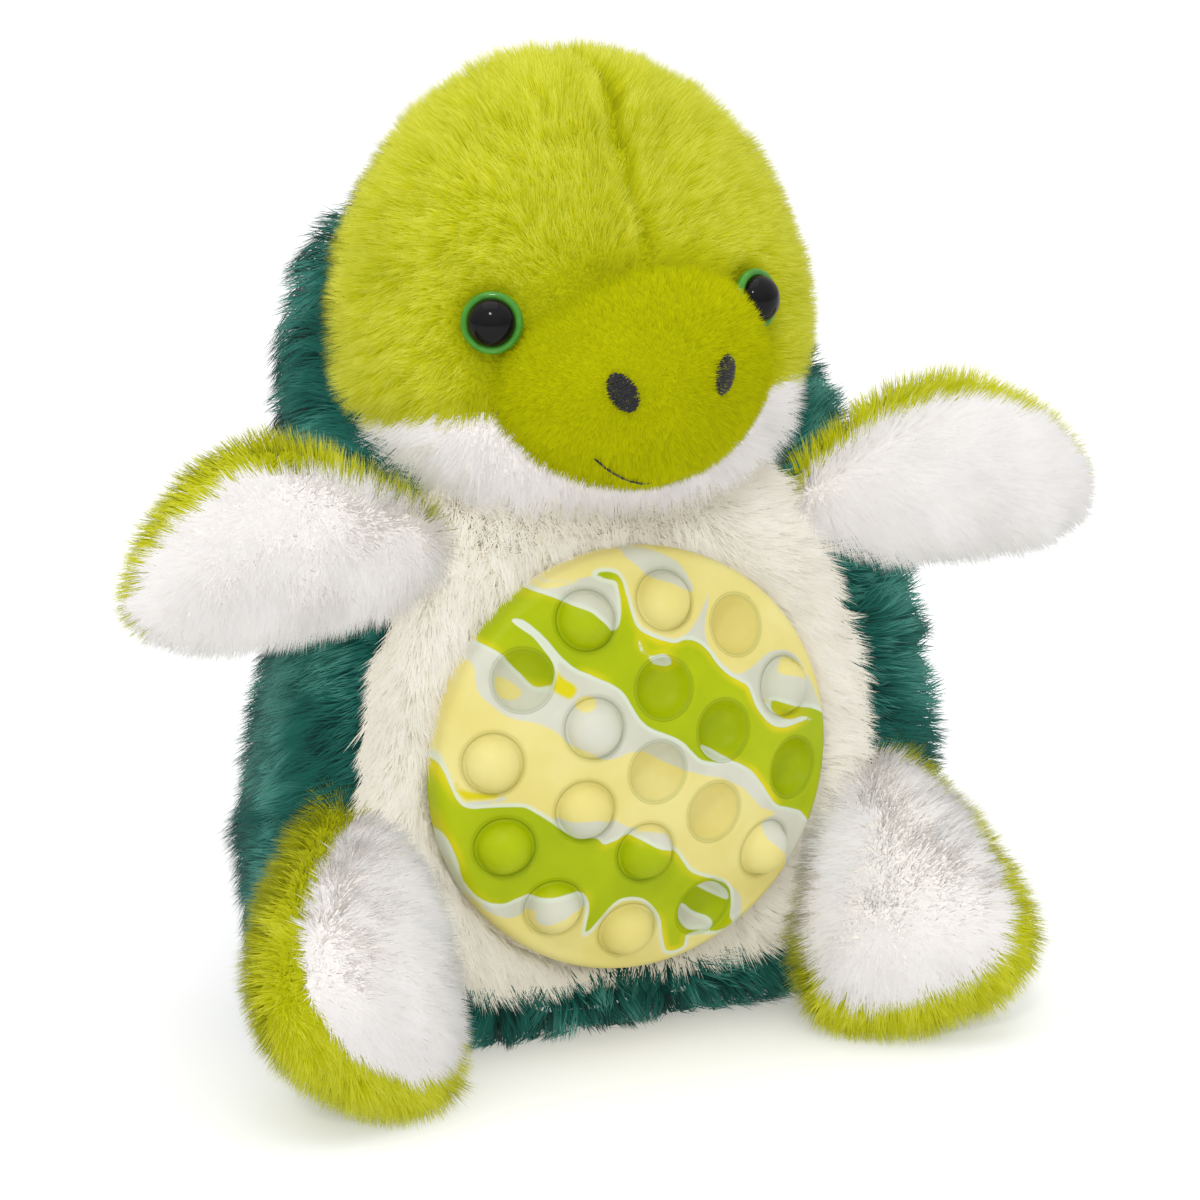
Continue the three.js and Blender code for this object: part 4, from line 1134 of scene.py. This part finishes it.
def snout_mesh(c, r, stations, around):
    rings = []
    for i in range(stations + 1):
        a = math.pi * i / stations
        if i in (0, stations):
            rings.append(np.array([[0, -math.cos(a), 0]]))
            continue
        w = 2 * np.pi * np.arange(around) / around
        rings.append(np.stack([math.sin(a) * np.cos(w), np.full(around, -math.cos(a)), math.sin(a) * np.sin(w)], 1))
    for q in rings:
        rho = np.maximum(np.hypot(q[:, 0], q[:, 1]), 1e-9)
        q[:, 0] = rho * spow(q[:, 0] / rho, 2 / SNOUT_EXP)
        q[:, 1] = rho * spow(q[:, 1] / rho, 2 / SNOUT_EXP)
        q[:, 0] += snout_lean(q[:, 2])
    rings = [q * r + c for q in rings]
    return rings_mesh(rings)


SV, SF = snout_mesh(SNOUT_C, SNOUT_R - SNOUT_DEPTH, int(60 * res), int(90 * res))
SN = normals(SV, SF)

# limbs
LIMB = {}
for name, l in LIMBS.items():
    R, o = limb_frame(l)
    up = 1 if R[2, 2] > 0 else -1
    V, F = paddle(l["rows"], int(56 * res), int(64 * res), up)
    V = inset(V, F, LIMB_DEPTH)
    f_split = lambda P, a=l["slant"] * up, b=l["split"]: (P[:, 1] + a * P[:, 2] - b) / math.hypot(1, a) + 1e-4

    def pin(P, f=f_split):
        s = np.exp(-(f(P) / 2.6) ** 2)
        return np.maximum(s, 1 - smooth(P[:, 0], 2, 14))
    V, F = settle(name + "_cloth", V, F, 3.6, pin, 3.0)
    V, F = cut(V, F, f_split)
    N = normals(V, F)
    V = V - N * (1.6 * np.exp(-(f_split(V) / 3.0) ** 2))[:, None]
    N = normals(V, F)
    W = V @ R.T + o
    Cc = centres(V, F)
    LIMB[name] = dict(V=W, F=F, N=N @ R.T, front=f_split(Cc) < 0, split=f_split, R=R, o=o, up=up)

TREES = {"body": (tree(*body_in), (body_in[0].min(0), body_in[0].max(0))),
         "head": (tree(HV, HF), (HV.min(0), HV.max(0))),
         "snout": (tree(SV, SF), (SV.min(0), SV.max(0)))}
for name, q in LIMB.items():
    TREES[name] = (tree(q["V"], q["F"]), (q["V"].min(0), q["V"].max(0)))


# ------------------------------------------------------------------ skins and their pile
def flow_shell(P, M):
    side = np.sign(P[:, 0]) * smooth(np.abs(P[:, 0]), 4, 30)
    back = smooth(P[:, 1], 0, 45)
    t = np.stack([0.9 * side * (1 - 0.7 * back), 0.55 * (1 - back), -0.35 - 0.65 * back + 0.35 * (P[:, 0] > 0) * (1 - back)], 1)
    t[:, 2] -= 0.6 * (1 - smooth(P[:, 2], 20, 40)) * (1 - back)
    low_ = P[:, 2] < 4
    t[low_] = unit(P[low_] * [1, 1, 0] + 1e-3)
    return t


def flow_belly(P, M):
    right = smooth(P[:, 0], 8, 45)
    t = np.stack([-0.05 + 1.0 * right, np.zeros(len(P)), -1 + 0.55 * right], 1)
    t[:, 0] -= 0.45 * smooth(-P[:, 0], 50, 62)
    return t


def rim_distance(P):
    x, y, h = disc_local(P)
    return np.where(P[:, 1] < -15, np.hypot(x, y), 99.0)


def scale_belly(P):
    return 0.85 + 0.15 * smooth(rim_distance(P), 50, 60)


def scale_shell(P):
    return 0.62 + 0.38 * smooth(np.abs(f_belly(P)), 1, 9)


def hold_disc(P, q):
    """No strand of the belly crosses more than the very edge of the disc."""
    x, y, h = disc_local(q)
    r = np.maximum(np.hypot(x, y), 1e-6)
    a = np.arctan2(y, x)
    edge = 50.5 - 2.0 * smooth(np.cos(a - 2.3), 0.2, 0.9) * smooth(h, 3, 8)      # it hangs over a little at the upper left
    push = np.where((r < edge) & (h < 13), edge - r, 0)[:, None]
    return q + (PX * (x / r)[:, None] + PY * (y / r)[:, None]) * push


def seam_shade(f, width, amount):
    return lambda P: amount * np.exp(-(f(P) / width) ** 2)


OTHERS = {"head": 2.5, "arm_left": 2.5, "arm_right": 2.5, "leg_left": 2.5, "leg_right": 2.5}
# painted shade: belly strands darker along the belly seam and next to the disc's rim; shell strands darker along the
# seams and in patches among the tufts
belly_shade = lambda P: np.maximum(0.45 * np.exp(-(f_belly(P) / 4.0) ** 2), 0.35 * (1 - smooth(rim_distance(P), 50.5, 54)))
shell_shade = lambda P: np.maximum(0.35 * np.exp(-(body_seams(P) / 2.5) ** 2), 0.85 * np.clip(noise3(P, 9, 3.3) + 0.1, 0, 1))
for name, body, kind, count, L, W, lean, clump, own, node in (
        ("shell_left", "torso", "shell", 46000, 12.5, 0.34, (26, 58), (30, 0.8), 0.3, "shell_panel_left"),
        ("shell_right", "torso", "shell", 46000, 12.5, 0.34, (26, 58), (30, 0.8), 0.3, "shell_panel_right"),
        ("belly", "torso", "cream", 36000, 10.0, 0.28, (24, 54), (24, 0.5), 0.08, "belly_panel"),
        ("base", "torso", "shell", 4500, 3.0, 0.40, (50, 80), (20, 0.3), 0.3, "base_panel")):
    pv, pf, idx = part_of(bodyV2, bodyF2, regions[name])
    skin(f"{name}_skin", body, kind, pv, pf, node)
    front = name == "belly"
    pile(f"{name}_pile", body, kind, pv, bodyN[idx], tris(pf), count, L, W, flow_belly if front else flow_shell, lean, clump, seed=sum(map(ord, name)) % 997,
         keep=(lambda P: rim_distance(P) > 51.0) if front else None, avoid=OTHERS, scale=scale_belly if front else scale_shell,
         hold=hold_disc if front else None, floor=True, own=own, shade=belly_shade if front else shell_shade, soft=0.8 if front else 1.0)


def eye_clear(P):
    k = np.ones(len(P), bool)
    for c, n in EYES.values():
        q = P - c
        a = q @ n
        k &= np.linalg.norm(q - np.outer(a, n), axis=1) > 6.3
    return k


def eye_scale(P):
    s = np.ones(len(P))
    for c, n in EYES.values():
        s *= 0.55 + 0.45 * smooth(np.linalg.norm(P - c, axis=1), 8, 17)
    q = (P - SNOUT_C) / SNOUT_R
    s *= 0.7 + 0.3 * smooth(np.linalg.norm(q, axis=1), 1.0, 1.35)
    return s


def chin_scale(P):
    return eye_scale(P) * (1 + 0.4 * (1 - smooth(P[:, 2], 122, 134)))


def seam_wave(z):
    return 2.6 + 0.9 * np.sin(z / 5.5) + 0.5 * np.sin(z / 2.3 + 1)


def flow_head(P, M):
    c = np.array([0, -30, 168.0])
    t = P - c
    t[:, 1] = t[:, 1] * 0.6
    t = unit(t) + np.array([0, 0.25, -0.55])
    for c, n in EYES.values():
        q = P - c
        w = np.exp(-(np.linalg.norm(q, axis=1) / 9.0) ** 2)[:, None]
        t = t * (1 - w) + unit(q) * w * 1.4
    # the two halves of the crown part a little at the seam
    q = P[:, 0] - seam_wave(P[:, 2])
    w = np.exp(-(q / 2.0) ** 2) * (P[:, 2] > 165)
    t[:, 0] += np.sign(q) * w * 0.8
    return t


# painted shade: strands darker along the crown seam and the chin seam, in the crease above the snout and in the hollows
# round the eyes
def head_shade(P):
    s = (0.75 + 0.25 * noise3(P, 5, 6.6)) * np.exp(-((P[:, 0] - seam_wave(P[:, 2])) / 0.9) ** 2) * (P[:, 2] > 165)
    s = np.maximum(s, 0.3 * np.exp(-(f_chin(P) / 1.5) ** 2))
    q = np.linalg.norm((P - SNOUT_C) / SNOUT_R, axis=1)
    s = np.maximum(s, 0.6 * (1 - smooth(q, 1.02, 1.16)) * (P[:, 2] > 150))
    for c, n in EYES.values():
        s = np.maximum(s, 0.7 * (1 - smooth(np.linalg.norm(P - c, axis=1), 7.0, 12.0)))
    return s


for name, kind, mask, count, node in (
        ("head_left", "lime", ~low & hleft, 52000, "head_panel_left"),
        ("head_right", "lime", ~low & ~hleft, 52000, "head_panel_right"),
        ("chin", "white", low, 28000, "chin_panel")):
    pv, pf, idx = part_of(HV, HF, mask)
    skin(f"{name}_skin", "head", kind, pv, pf, node)
    pile(f"{name}_pile", "head", kind, pv, HN[idx], tris(pf), count, 7.4, 0.28, flow_head, (16, 42), (20, 0.5), stray=0.4, wave=0.9,
         seed=sum(map(ord, name)) % 997, keep=eye_clear, avoid={"snout": 1.2, "body": 1.2}, scale=eye_scale if kind == "lime" else chin_scale,
         own=0.16 if kind == "lime" else 0.06, spike=True, shade=head_shade, soft=1.3 if kind == "lime" else 0.6)

sob = new_mesh("snout_skin", SV, SF)
sob.data.materials.append(BACKING["snout"])
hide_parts("snout_panel")
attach(sob, "head")


def flow_snout(P, M):
    t = P - (SNOUT_C + np.array([0, -26, 6]))
    return unit(t) + np.array([0, 0.3, -0.35])


pile("snout_pile", "head", "snout", SV, SN, tris(SF), 62000, 3.2, 0.24, flow_snout, (14, 36), (14, 0.4), seed=71,
     avoid={"head": -0.6}, wave=0.6, own=0.10, spike=True, soft=1.2)

for name, q in LIMB.items():
    arm = name.startswith("arm")
    axis, up_ = q["R"][:, 0], q["R"][:, 2] * q["up"]
    o, R = q["o"], q["R"]

    def flow_limb(P, M, axis=axis, o=o, R=R, arm=arm):
        loc = (P - o) @ R
        t = np.zeros_like(P) + axis
        t = t + R[:, 2] * (loc[:, 2] * 0.018)[:, None]
        t = t + R[:, 1] * (0.5 * (loc[:, 1] > 0))[:, None]
        t[:, 2] -= 0.3 if arm else 0.1
        return t

    # painted shade: strands darker along the sunken seam between the two colours and near the root of the limb
    def limb_shade(P, o=o, R=R, f=q["split"]):
        loc = (P - o) @ R
        return np.maximum(0.2 * np.exp(-(f(loc) / 1.6) ** 2), 0.25 * (1 - smooth(loc[:, 0], 4, 16)))
    for side, kind, mask in (("front", "white", q["front"]), ("back", "lime", ~q["front"])):
        pv, pf, idx = part_of(q["V"], q["F"], mask)
        skin(f"{name}_{side}_skin", name, kind, pv, pf, f"{name}_{side}_panel")
        count = {("arm", "front"): 20000, ("arm", "back"): 14000, ("leg", "front"): 21000, ("leg", "back"): 23000}[(name[:3], side)]
        pile(f"{name}_{side}_pile", name, kind, pv, q["N"][idx], tris(pf), count, 7.6, 0.30, flow_limb, (18, 44), (16, 0.35), stray=0.4, wave=0.6,
             seed=sum(map(ord, name + side)) % 997, avoid={"body": 5.0, "head": 3.0}, floor=not arm, own=0.16 if side == "back" else 0.06,
             spike=True, shade=limb_shade, soft=1.0 if side == "back" else 0.6)
    filling(f"{name}_fill", name, q["V"], q["F"], 1.8, f"{name}_stuffing", 0.8)

# stuffing of the body stands back behind the popper
V, F = body_in
V = V.copy()
x, y, h = disc_local(V)
r = np.hypot(x, y)
w = (1 - smooth(r, 54, 62)) * (V[:, 1] < 0)
V = V + AX * (np.minimum(0, -12.5 - h) * w)[:, None]
filling("body_fill", "torso", V, F, 3.2, "body_stuffing")
filling("head_fill", "head", HV, HF, 2.4, "head_stuffing", 0.8)
s2V, s2F = snout_mesh(SNOUT_C, SNOUT_R - SNOUT_DEPTH - 1.0, 24, 36)
filling("snout_fill", "head", s2V, s2F, 0.6, "snout_stuffing", 0.6)


# ------------------------------------------------------------------ eyes
def revolve(name, profile, seg, origin, axis, closed=True):
    """A body of revolution about axis. profile is (radius, height), from the axis to the axis."""
    z = unit(np.array(axis, float))
    x = unit(np.cross([0, 0, 1.0], z))
    y = np.cross(z, x)
    rings = []
    a = 2 * np.pi * np.arange(seg) / seg
    for r, h in profile:
        if r <= 1e-6:
            rings.append((origin + z * h)[None])
        else:
            rings.append(origin + z * h + r * (np.cos(a)[:, None] * x + np.sin(a)[:, None] * y))
    V, F = rings_mesh(rings)
    return new_mesh(name, V, F)


BLACK, GREEN_EYE, THREAD = eye_black(), eye_green(), thread_material()
for s, (c, n) in EYES.items():
    b = -1.2
    ring = [(0, b + 0.2), (3.0, b), (6.7, b), (7.1, b + 0.35), (7.2, b + 0.9), (7.05, b + 1.45), (6.7, b + 1.85), (6.25, b + 2.05), (5.8, b + 2.0), (5.45, b + 1.8), (5.2, b + 1.55), (0, b + 1.5)]
    ob = revolve(f"eye_iris_{s}", ring, 56, c, n)
    ob.data.materials.append(GREEN_EYE)
    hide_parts(f"eye_ring_{s}")
    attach(ob, "head")
    d0 = b + 1.6
    dome = [(0, -10.8), (1.5, -10.8), (1.5, d0), (5.0, d0), (5.35, d0 + 0.15), (5.5, d0 + 0.5)]
    for k in range(1, 13):
        t = k / 12 * math.pi / 2
        dome.append((5.5 * math.cos(t), d0 + 0.5 + 3.9 * math.sin(t)))
    dome[-1] = (0, d0 + 4.4)
    ob = revolve(f"eye_pupil_{s}", dome, 56, c, n)
    ob.data.materials.append(BLACK)
    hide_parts(f"eye_dome_{s}")
    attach(ob, "head")


# ------------------------------------------------------------------ stitched nostrils and mouth
def tube(points, radius, up, sides=7, flat=0.75):
    """A thread with tapered ends along the points, rings of a flattened section."""
    P = np.array(points, float)
    T = unit(np.gradient(P, axis=0))
    rings = []
    m = len(P)
    for i in range(m):
        u = unit(up[i] - T[i] * (up[i] @ T[i]))
        s = np.cross(T[i], u)
        k = min(1.0, math.sin(math.pi * (i + 0.5) / m) * 1.8)
        a = 2 * np.pi * np.arange(sides) / sides
        rings.append(P[i] + radius * k * (np.cos(a)[:, None] * s + flat * np.sin(a)[:, None] * u))
    rings = [P[:1] - T[:1] * radius * 0.3] + rings + [P[-1:] + T[-1:] * radius * 0.3]
    return rings_mesh(rings)


def on_snout(x, z, out):
    R, e = SNOUT_R + out, SNOUT_EXP
    X, Z = (x - SNOUT_C[0]) / R[0], (z - SNOUT_C[2]) / R[2]
    X -= float(snout_lean(Z))
    S = math.sqrt(max(1 - Z * Z, 1e-9)) ** e
    Y = -max(S - abs(X) ** e, 1e-9) ** (1 / e)
    k = S ** (2 / e - 1)
    n = np.array([k * math.copysign(abs(X) ** (e - 1), X) / R[0], -k * abs(Y) ** (e - 1) / R[1], Z / R[2]])
    return np.array([x, SNOUT_C[1] + R[1] * Y, z]), unit(n)


def join(name, parts):
    V, F, k = [], [], 0
    for v, f in parts:
        V.append(v)
        F.extend(tuple(i + k for i in q) for q in f)
        k += len(v)
    return new_mesh(name, np.concatenate(V), F)


def threads(name, lines, radius, node):
    parts = []
    for line in lines:
        pts, ups = [], []
        for x, z, o in line:
            p, n = on_snout(x, z, o)
            pts.append(p)
            ups.append(n)
        parts.append(tube(pts, radius, ups))
    ob = join(name, parts)
    ob.data.materials.append(THREAD)
    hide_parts(node)
    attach(ob, "head")
    return ob


for s, side, cx, cz in (("left", -1, -13.7, 159.3), ("right", 1, 12.4, 161.0)):
    tilt = side * math.radians(-24)
    lines = []
    rows = 19
    for k in range(rows):
        v = -4.4 + 8.8 * k / (rows - 1)
        half = 3.1 * math.sqrt(max(0, 1 - (v / 4.65) ** 2)) * (1 + 0.05 * math.sin(k * 2.4))
        line = []
        for j in range(9):
            u = -half + 2 * half * j / 8
            vv = v + 0.10 * math.sin(k * 1.7)
            x = cx + u * math.cos(tilt) - vv * math.sin(tilt)
            z = cz + u * math.sin(tilt) + vv * math.cos(tilt)
            line.append((x, z, -0.1 + 0.85 * (1 - (u / 3.6) ** 2) * (1 - (vv / 5.4) ** 2)))
        lines.append(line)
    threads(f"nostril_thread_{s}", lines, 0.36, f"nostril_{s}")
lines = []
stitches, half = 15, 17.2
for k in range(stitches):
    x0, x1 = -half + 2 * half * k / stitches - 0.35, -half + 2 * half * (k + 1) / stitches + 0.35
    line = []
    for j in range(6):
        t = j / 5
        x = x0 + (x1 - x0) * t
        deep = 1.4 * min(max((x + 4.0) / 5.0, 0.0), 1.0)
        line.append((x, 134.9 + 0.0265 * x * x + 0.12 * (t - 0.5), 0.1 - deep + 0.3 * math.sin(math.pi * t)))
    lines.append(line)
threads("mouth_thread", lines, 0.32, "mouth_stitching")


# ------------------------------------------------------------------ popper
SILICONE = silicone()
cap = lambda r, R=CAP_R: CAP_H - CAP_R + np.sqrt(R * R - r * r)


def to_world(x, y, z):
    return POP_C + np.outer(x, PX) + np.outer(y, PY) + np.outer(z, AX)


CENTRE = np.array([0, 0, CAP_H - CAP_R])
FRAMES = []
for r, ang, is_out in SPOTS:
    a = math.radians(ang)
    p = np.array([r * math.cos(a), r * math.sin(a), float(cap(r))])
    n = unit(p - CENTRE)
    e1 = unit(np.cross([0, 1.0, 0], n))
    FRAMES.append((p, n, e1, np.cross(n, e1), is_out))

SEG, OUTER_SEG, OUTER_R = ((56, 200, 47.0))
pitch = 0.95
pts, edges = [], []
a = 2 * np.pi * np.arange(OUTER_SEG) / OUTER_SEG
pts.extend(np.stack([OUTER_R * np.cos(a), OUTER_R * np.sin(a)], 1).tolist())
edges.extend((i, (i + 1) % OUTER_SEG) for i in range(OUTER_SEG))
holes = []
for p, n, e1, e2, is_out in FRAMES:
    a = 2 * np.pi * np.arange(SEG) / SEG
    q = p + RIM_R * (np.cos(a)[:, None] * e1 + np.sin(a)[:, None] * e2)
    q = CENTRE + unit(q - CENTRE) * CAP_R
    k = len(pts)
    holes.append((k, q))
    pts.extend(q[:, :2].tolist())
    edges.extend((k + i, k + (i + 1) % SEG) for i in range(SEG))
for p, n, e1, e2, is_out in FRAMES:
    for extra in (0.45, 1.0):
        a = 2 * np.pi * (np.arange(SEG) + (0.5 if extra < 0.6 else 0)) / SEG
        q = p + (RIM_R + extra) * (np.cos(a)[:, None] * e1 + np.sin(a)[:, None] * e2)
        q = CENTRE + unit(q - CENTRE) * CAP_R
        pts.extend(q[np.hypot(q[:, 0], q[:, 1]) < OUTER_R - 0.3][:, :2].tolist())
gx = np.arange(-47, 47, pitch)
grid = []
for j, y in enumerate(np.arange(-47, 47, pitch * 0.866)):
    for x in gx + (pitch / 2 if j % 2 else 0):
        grid.append((x, y))
grid = np.array(grid)
z = np.sqrt(np.maximum(CAP_R ** 2 - (grid ** 2).sum(1), 0)) + CENTRE[2]
on = np.column_stack([grid, z])
ok = np.hypot(grid[:, 0], grid[:, 1]) < OUTER_R - 0.7 * pitch
for p, n, e1, e2, is_out in FRAMES:
    ok &= np.linalg.norm(on - p, axis=1) > RIM_R + 1.0 + 0.55 * pitch
pts.extend(grid[ok].tolist())
dv, de, df, *_ = geometry.delaunay_2d_cdt([Vector(p) for p in pts], edges, [], 0, 1e-7)
dv = np.array([tuple(v) for v in dv])
assert len(dv) == len(pts), (len(dv), len(pts))
df = [tuple(f) for f in df]
cen = np.array([dv[list(f)].mean(0) for f in df])
cen3 = np.column_stack([cen, np.sqrt(CAP_R ** 2 - (cen ** 2).sum(1)) + CENTRE[2]])
ok = np.hypot(cen[:, 0], cen[:, 1]) < OUTER_R
for p, n, e1, e2, is_out in FRAMES:
    ok &= np.linalg.norm(cen3 - p, axis=1) > RIM_R - 0.02
df = [f for f, k in zip(df, ok) if k]
top = np.column_stack([dv, np.sqrt(CAP_R ** 2 - (dv ** 2).sum(1)) + CENTRE[2]])
# a soft raised edge round each bubble
lip = np.zeros(len(top))
near = np.full(len(top), 99.0)
for p, n, e1, e2, is_out in FRAMES:
    near = np.minimum(near, np.linalg.norm(top - p, axis=1) - RIM_R)
lift = 0.12 * np.exp(-((near - 0.9) / 0.7) ** 2) - 0.22 * np.exp(-(near / 0.4) ** 2)
dirs = unit(top - CENTRE)
under = top - dirs * WALL
top = top + dirs * lift[:, None]
n_top = len(top)
PV = np.concatenate([top, under])
PF = list(df) + [tuple(reversed([i + n_top for i in f])) for f in df]
f0 = df[0]
if np.cross(top[f0[1]] - top[f0[0]], top[f0[2]] - top[f0[0]])[2] < 0:
    PF = [tuple(reversed(f)) for f in PF]
for k, q in holes:
    for i in range(SEG):
        j = (i + 1) % SEG
        PF.append((k + i, k + i + n_top, k + j + n_top, k + j))
prof = [(47.9, 10.55), (48.8, 10.12), (49.55, 9.45), (50.05, 8.6), (50.32, 7.7), (50.4, 6.8), (50.4, 3.0), (50.32, 1.9), (50.05, 1.1), (49.6, 0.6), (48.9, 0.32), (48.0, 0.3),
        (48.0, -3.3), (FLANGE_R, -3.3), (FLANGE_R, -4.2), (46.9, -4.2), (46.9, 7.2)]
a = 2 * np.pi * np.arange(OUTER_SEG) / OUTER_SEG
start = len(PV)
for r, zz in prof:
    PV = np.concatenate([PV, np.stack([r * np.cos(a), r * np.sin(a), np.full(OUTER_SEG, zz)], 1)])
chain = [0] + [start + OUTER_SEG * i for i in range(len(prof))] + [n_top]
for s0, s1 in zip(chain, chain[1:]):
    for i in range(OUTER_SEG):
        j = (i + 1) % OUTER_SEG
        PF.append((s0 + i, s1 + i, s1 + j, s0 + j))
plate = new_mesh("popper_disc", to_world(*PV.T), PF)
bm = bmesh.new()
bm.from_mesh(plate.data)
bmesh.ops.recalc_face_normals(bm, faces=bm.faces)
bm.to_mesh(plate.data)
bm.free()
# painted shade in the groove round each bubble
groove_shade = np.zeros(len(PV))
groove_shade[:n_top] = 0.8 * np.exp(-(near / 0.28) ** 2)
put_marble(plate, PV[:, 0], PV[:, 1], groove_shade)
plate.data.materials.append(SILICONE)
sm = np.ones(len(plate.data.polygons), bool)
plate.data.polygons.foreach_set("use_smooth", sm)
m = plate.modifiers.new("edges", "EDGE_SPLIT")
m.split_angle = math.radians(50)
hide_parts("popper_plate")
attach(plate, "torso")

OUT_PROFILE = [(7.5, -0.22), (7.3, -0.42), (7.05, -0.58), (6.8, -0.62), (6.55, -0.5), (6.38, -0.2), (6.28, 0.2), (6.15, 0.75), (5.9, 1.45), (5.5, 2.25),
               (4.95, 3.0), (4.3, 3.65), (3.5, 4.22), (2.65, 4.65), (1.75, 4.95), (0.85, 5.12), (0, 5.18)]
IN_PROFILE = [(7.5, -0.22), (7.3, -0.3), (7.05, -0.38), (6.8, -0.6), (6.55, -1.0), (6.3, -1.55), (5.95, -2.25), (5.5, -2.95), (4.9, -3.6), (4.2, -4.15),
              (3.4, -4.6), (2.5, -4.92), (1.6, -5.1), (0.8, -5.18), (0, -5.2)]
for k, (p, n, e1, e2, is_out) in enumerate(FRAMES):
    prof = OUT_PROFILE if is_out else IN_PROFILE
    a = 2 * np.pi * np.arange(SEG) / SEG
    V, F = [], []
    for i, (r, h) in enumerate(prof):
        if r == 0:
            V.append((p + n * h)[None])
            s = (i - 1) * SEG
            F.extend((s + j, s + (j + 1) % SEG, i * SEG) for j in range(SEG))
            continue
        V.append(p + n * h + r * (np.cos(a)[:, None] * e1 + np.sin(a)[:, None] * e2))
        if i:
            s0, s1 = (i - 1) * SEG, i * SEG
            F.extend((s0 + j, s0 + (j + 1) % SEG, s1 + (j + 1) % SEG, s1 + j) for j in range(SEG))
    V = np.concatenate(V)
    name = f"popper_dome_{k:02d}"
    ob = new_mesh(name, to_world(*V.T), F)
    h = (V - p) @ n
    rr = np.linalg.norm(V - p - np.outer(h, n), axis=1)
    # painted shade in the groove round the foot of each bubble
    put_marble(ob, V[:, 0], V[:, 1], 0.8 * np.exp(-((rr - 7.05) / 0.35) ** 2))
    ob.data.materials.append(SILICONE)
    m = ob.modifiers.new("thickness", "SOLIDIFY")
    m.thickness, m.offset = 0.9 * MM, -1.0
    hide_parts(f"popper_bubble_{k:02d}")
    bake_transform(ob)

# ------------------------------------------------------------------ small inner pieces keep their shape from the frame
CLOTH, WASHER = cloth_material(), moulded_material("moulded_washer", (232, 232, 228), 0.5, (216, 216, 210))
for n, m in (("popper_lining", CLOTH), ("eye_washer_left", WASHER), ("eye_washer_right", WASHER)):
    NODES[n].data.materials.clear()
    NODES[n].data.materials.append(m)

print("strands:", sum(n for _, n in PILE), PILE)
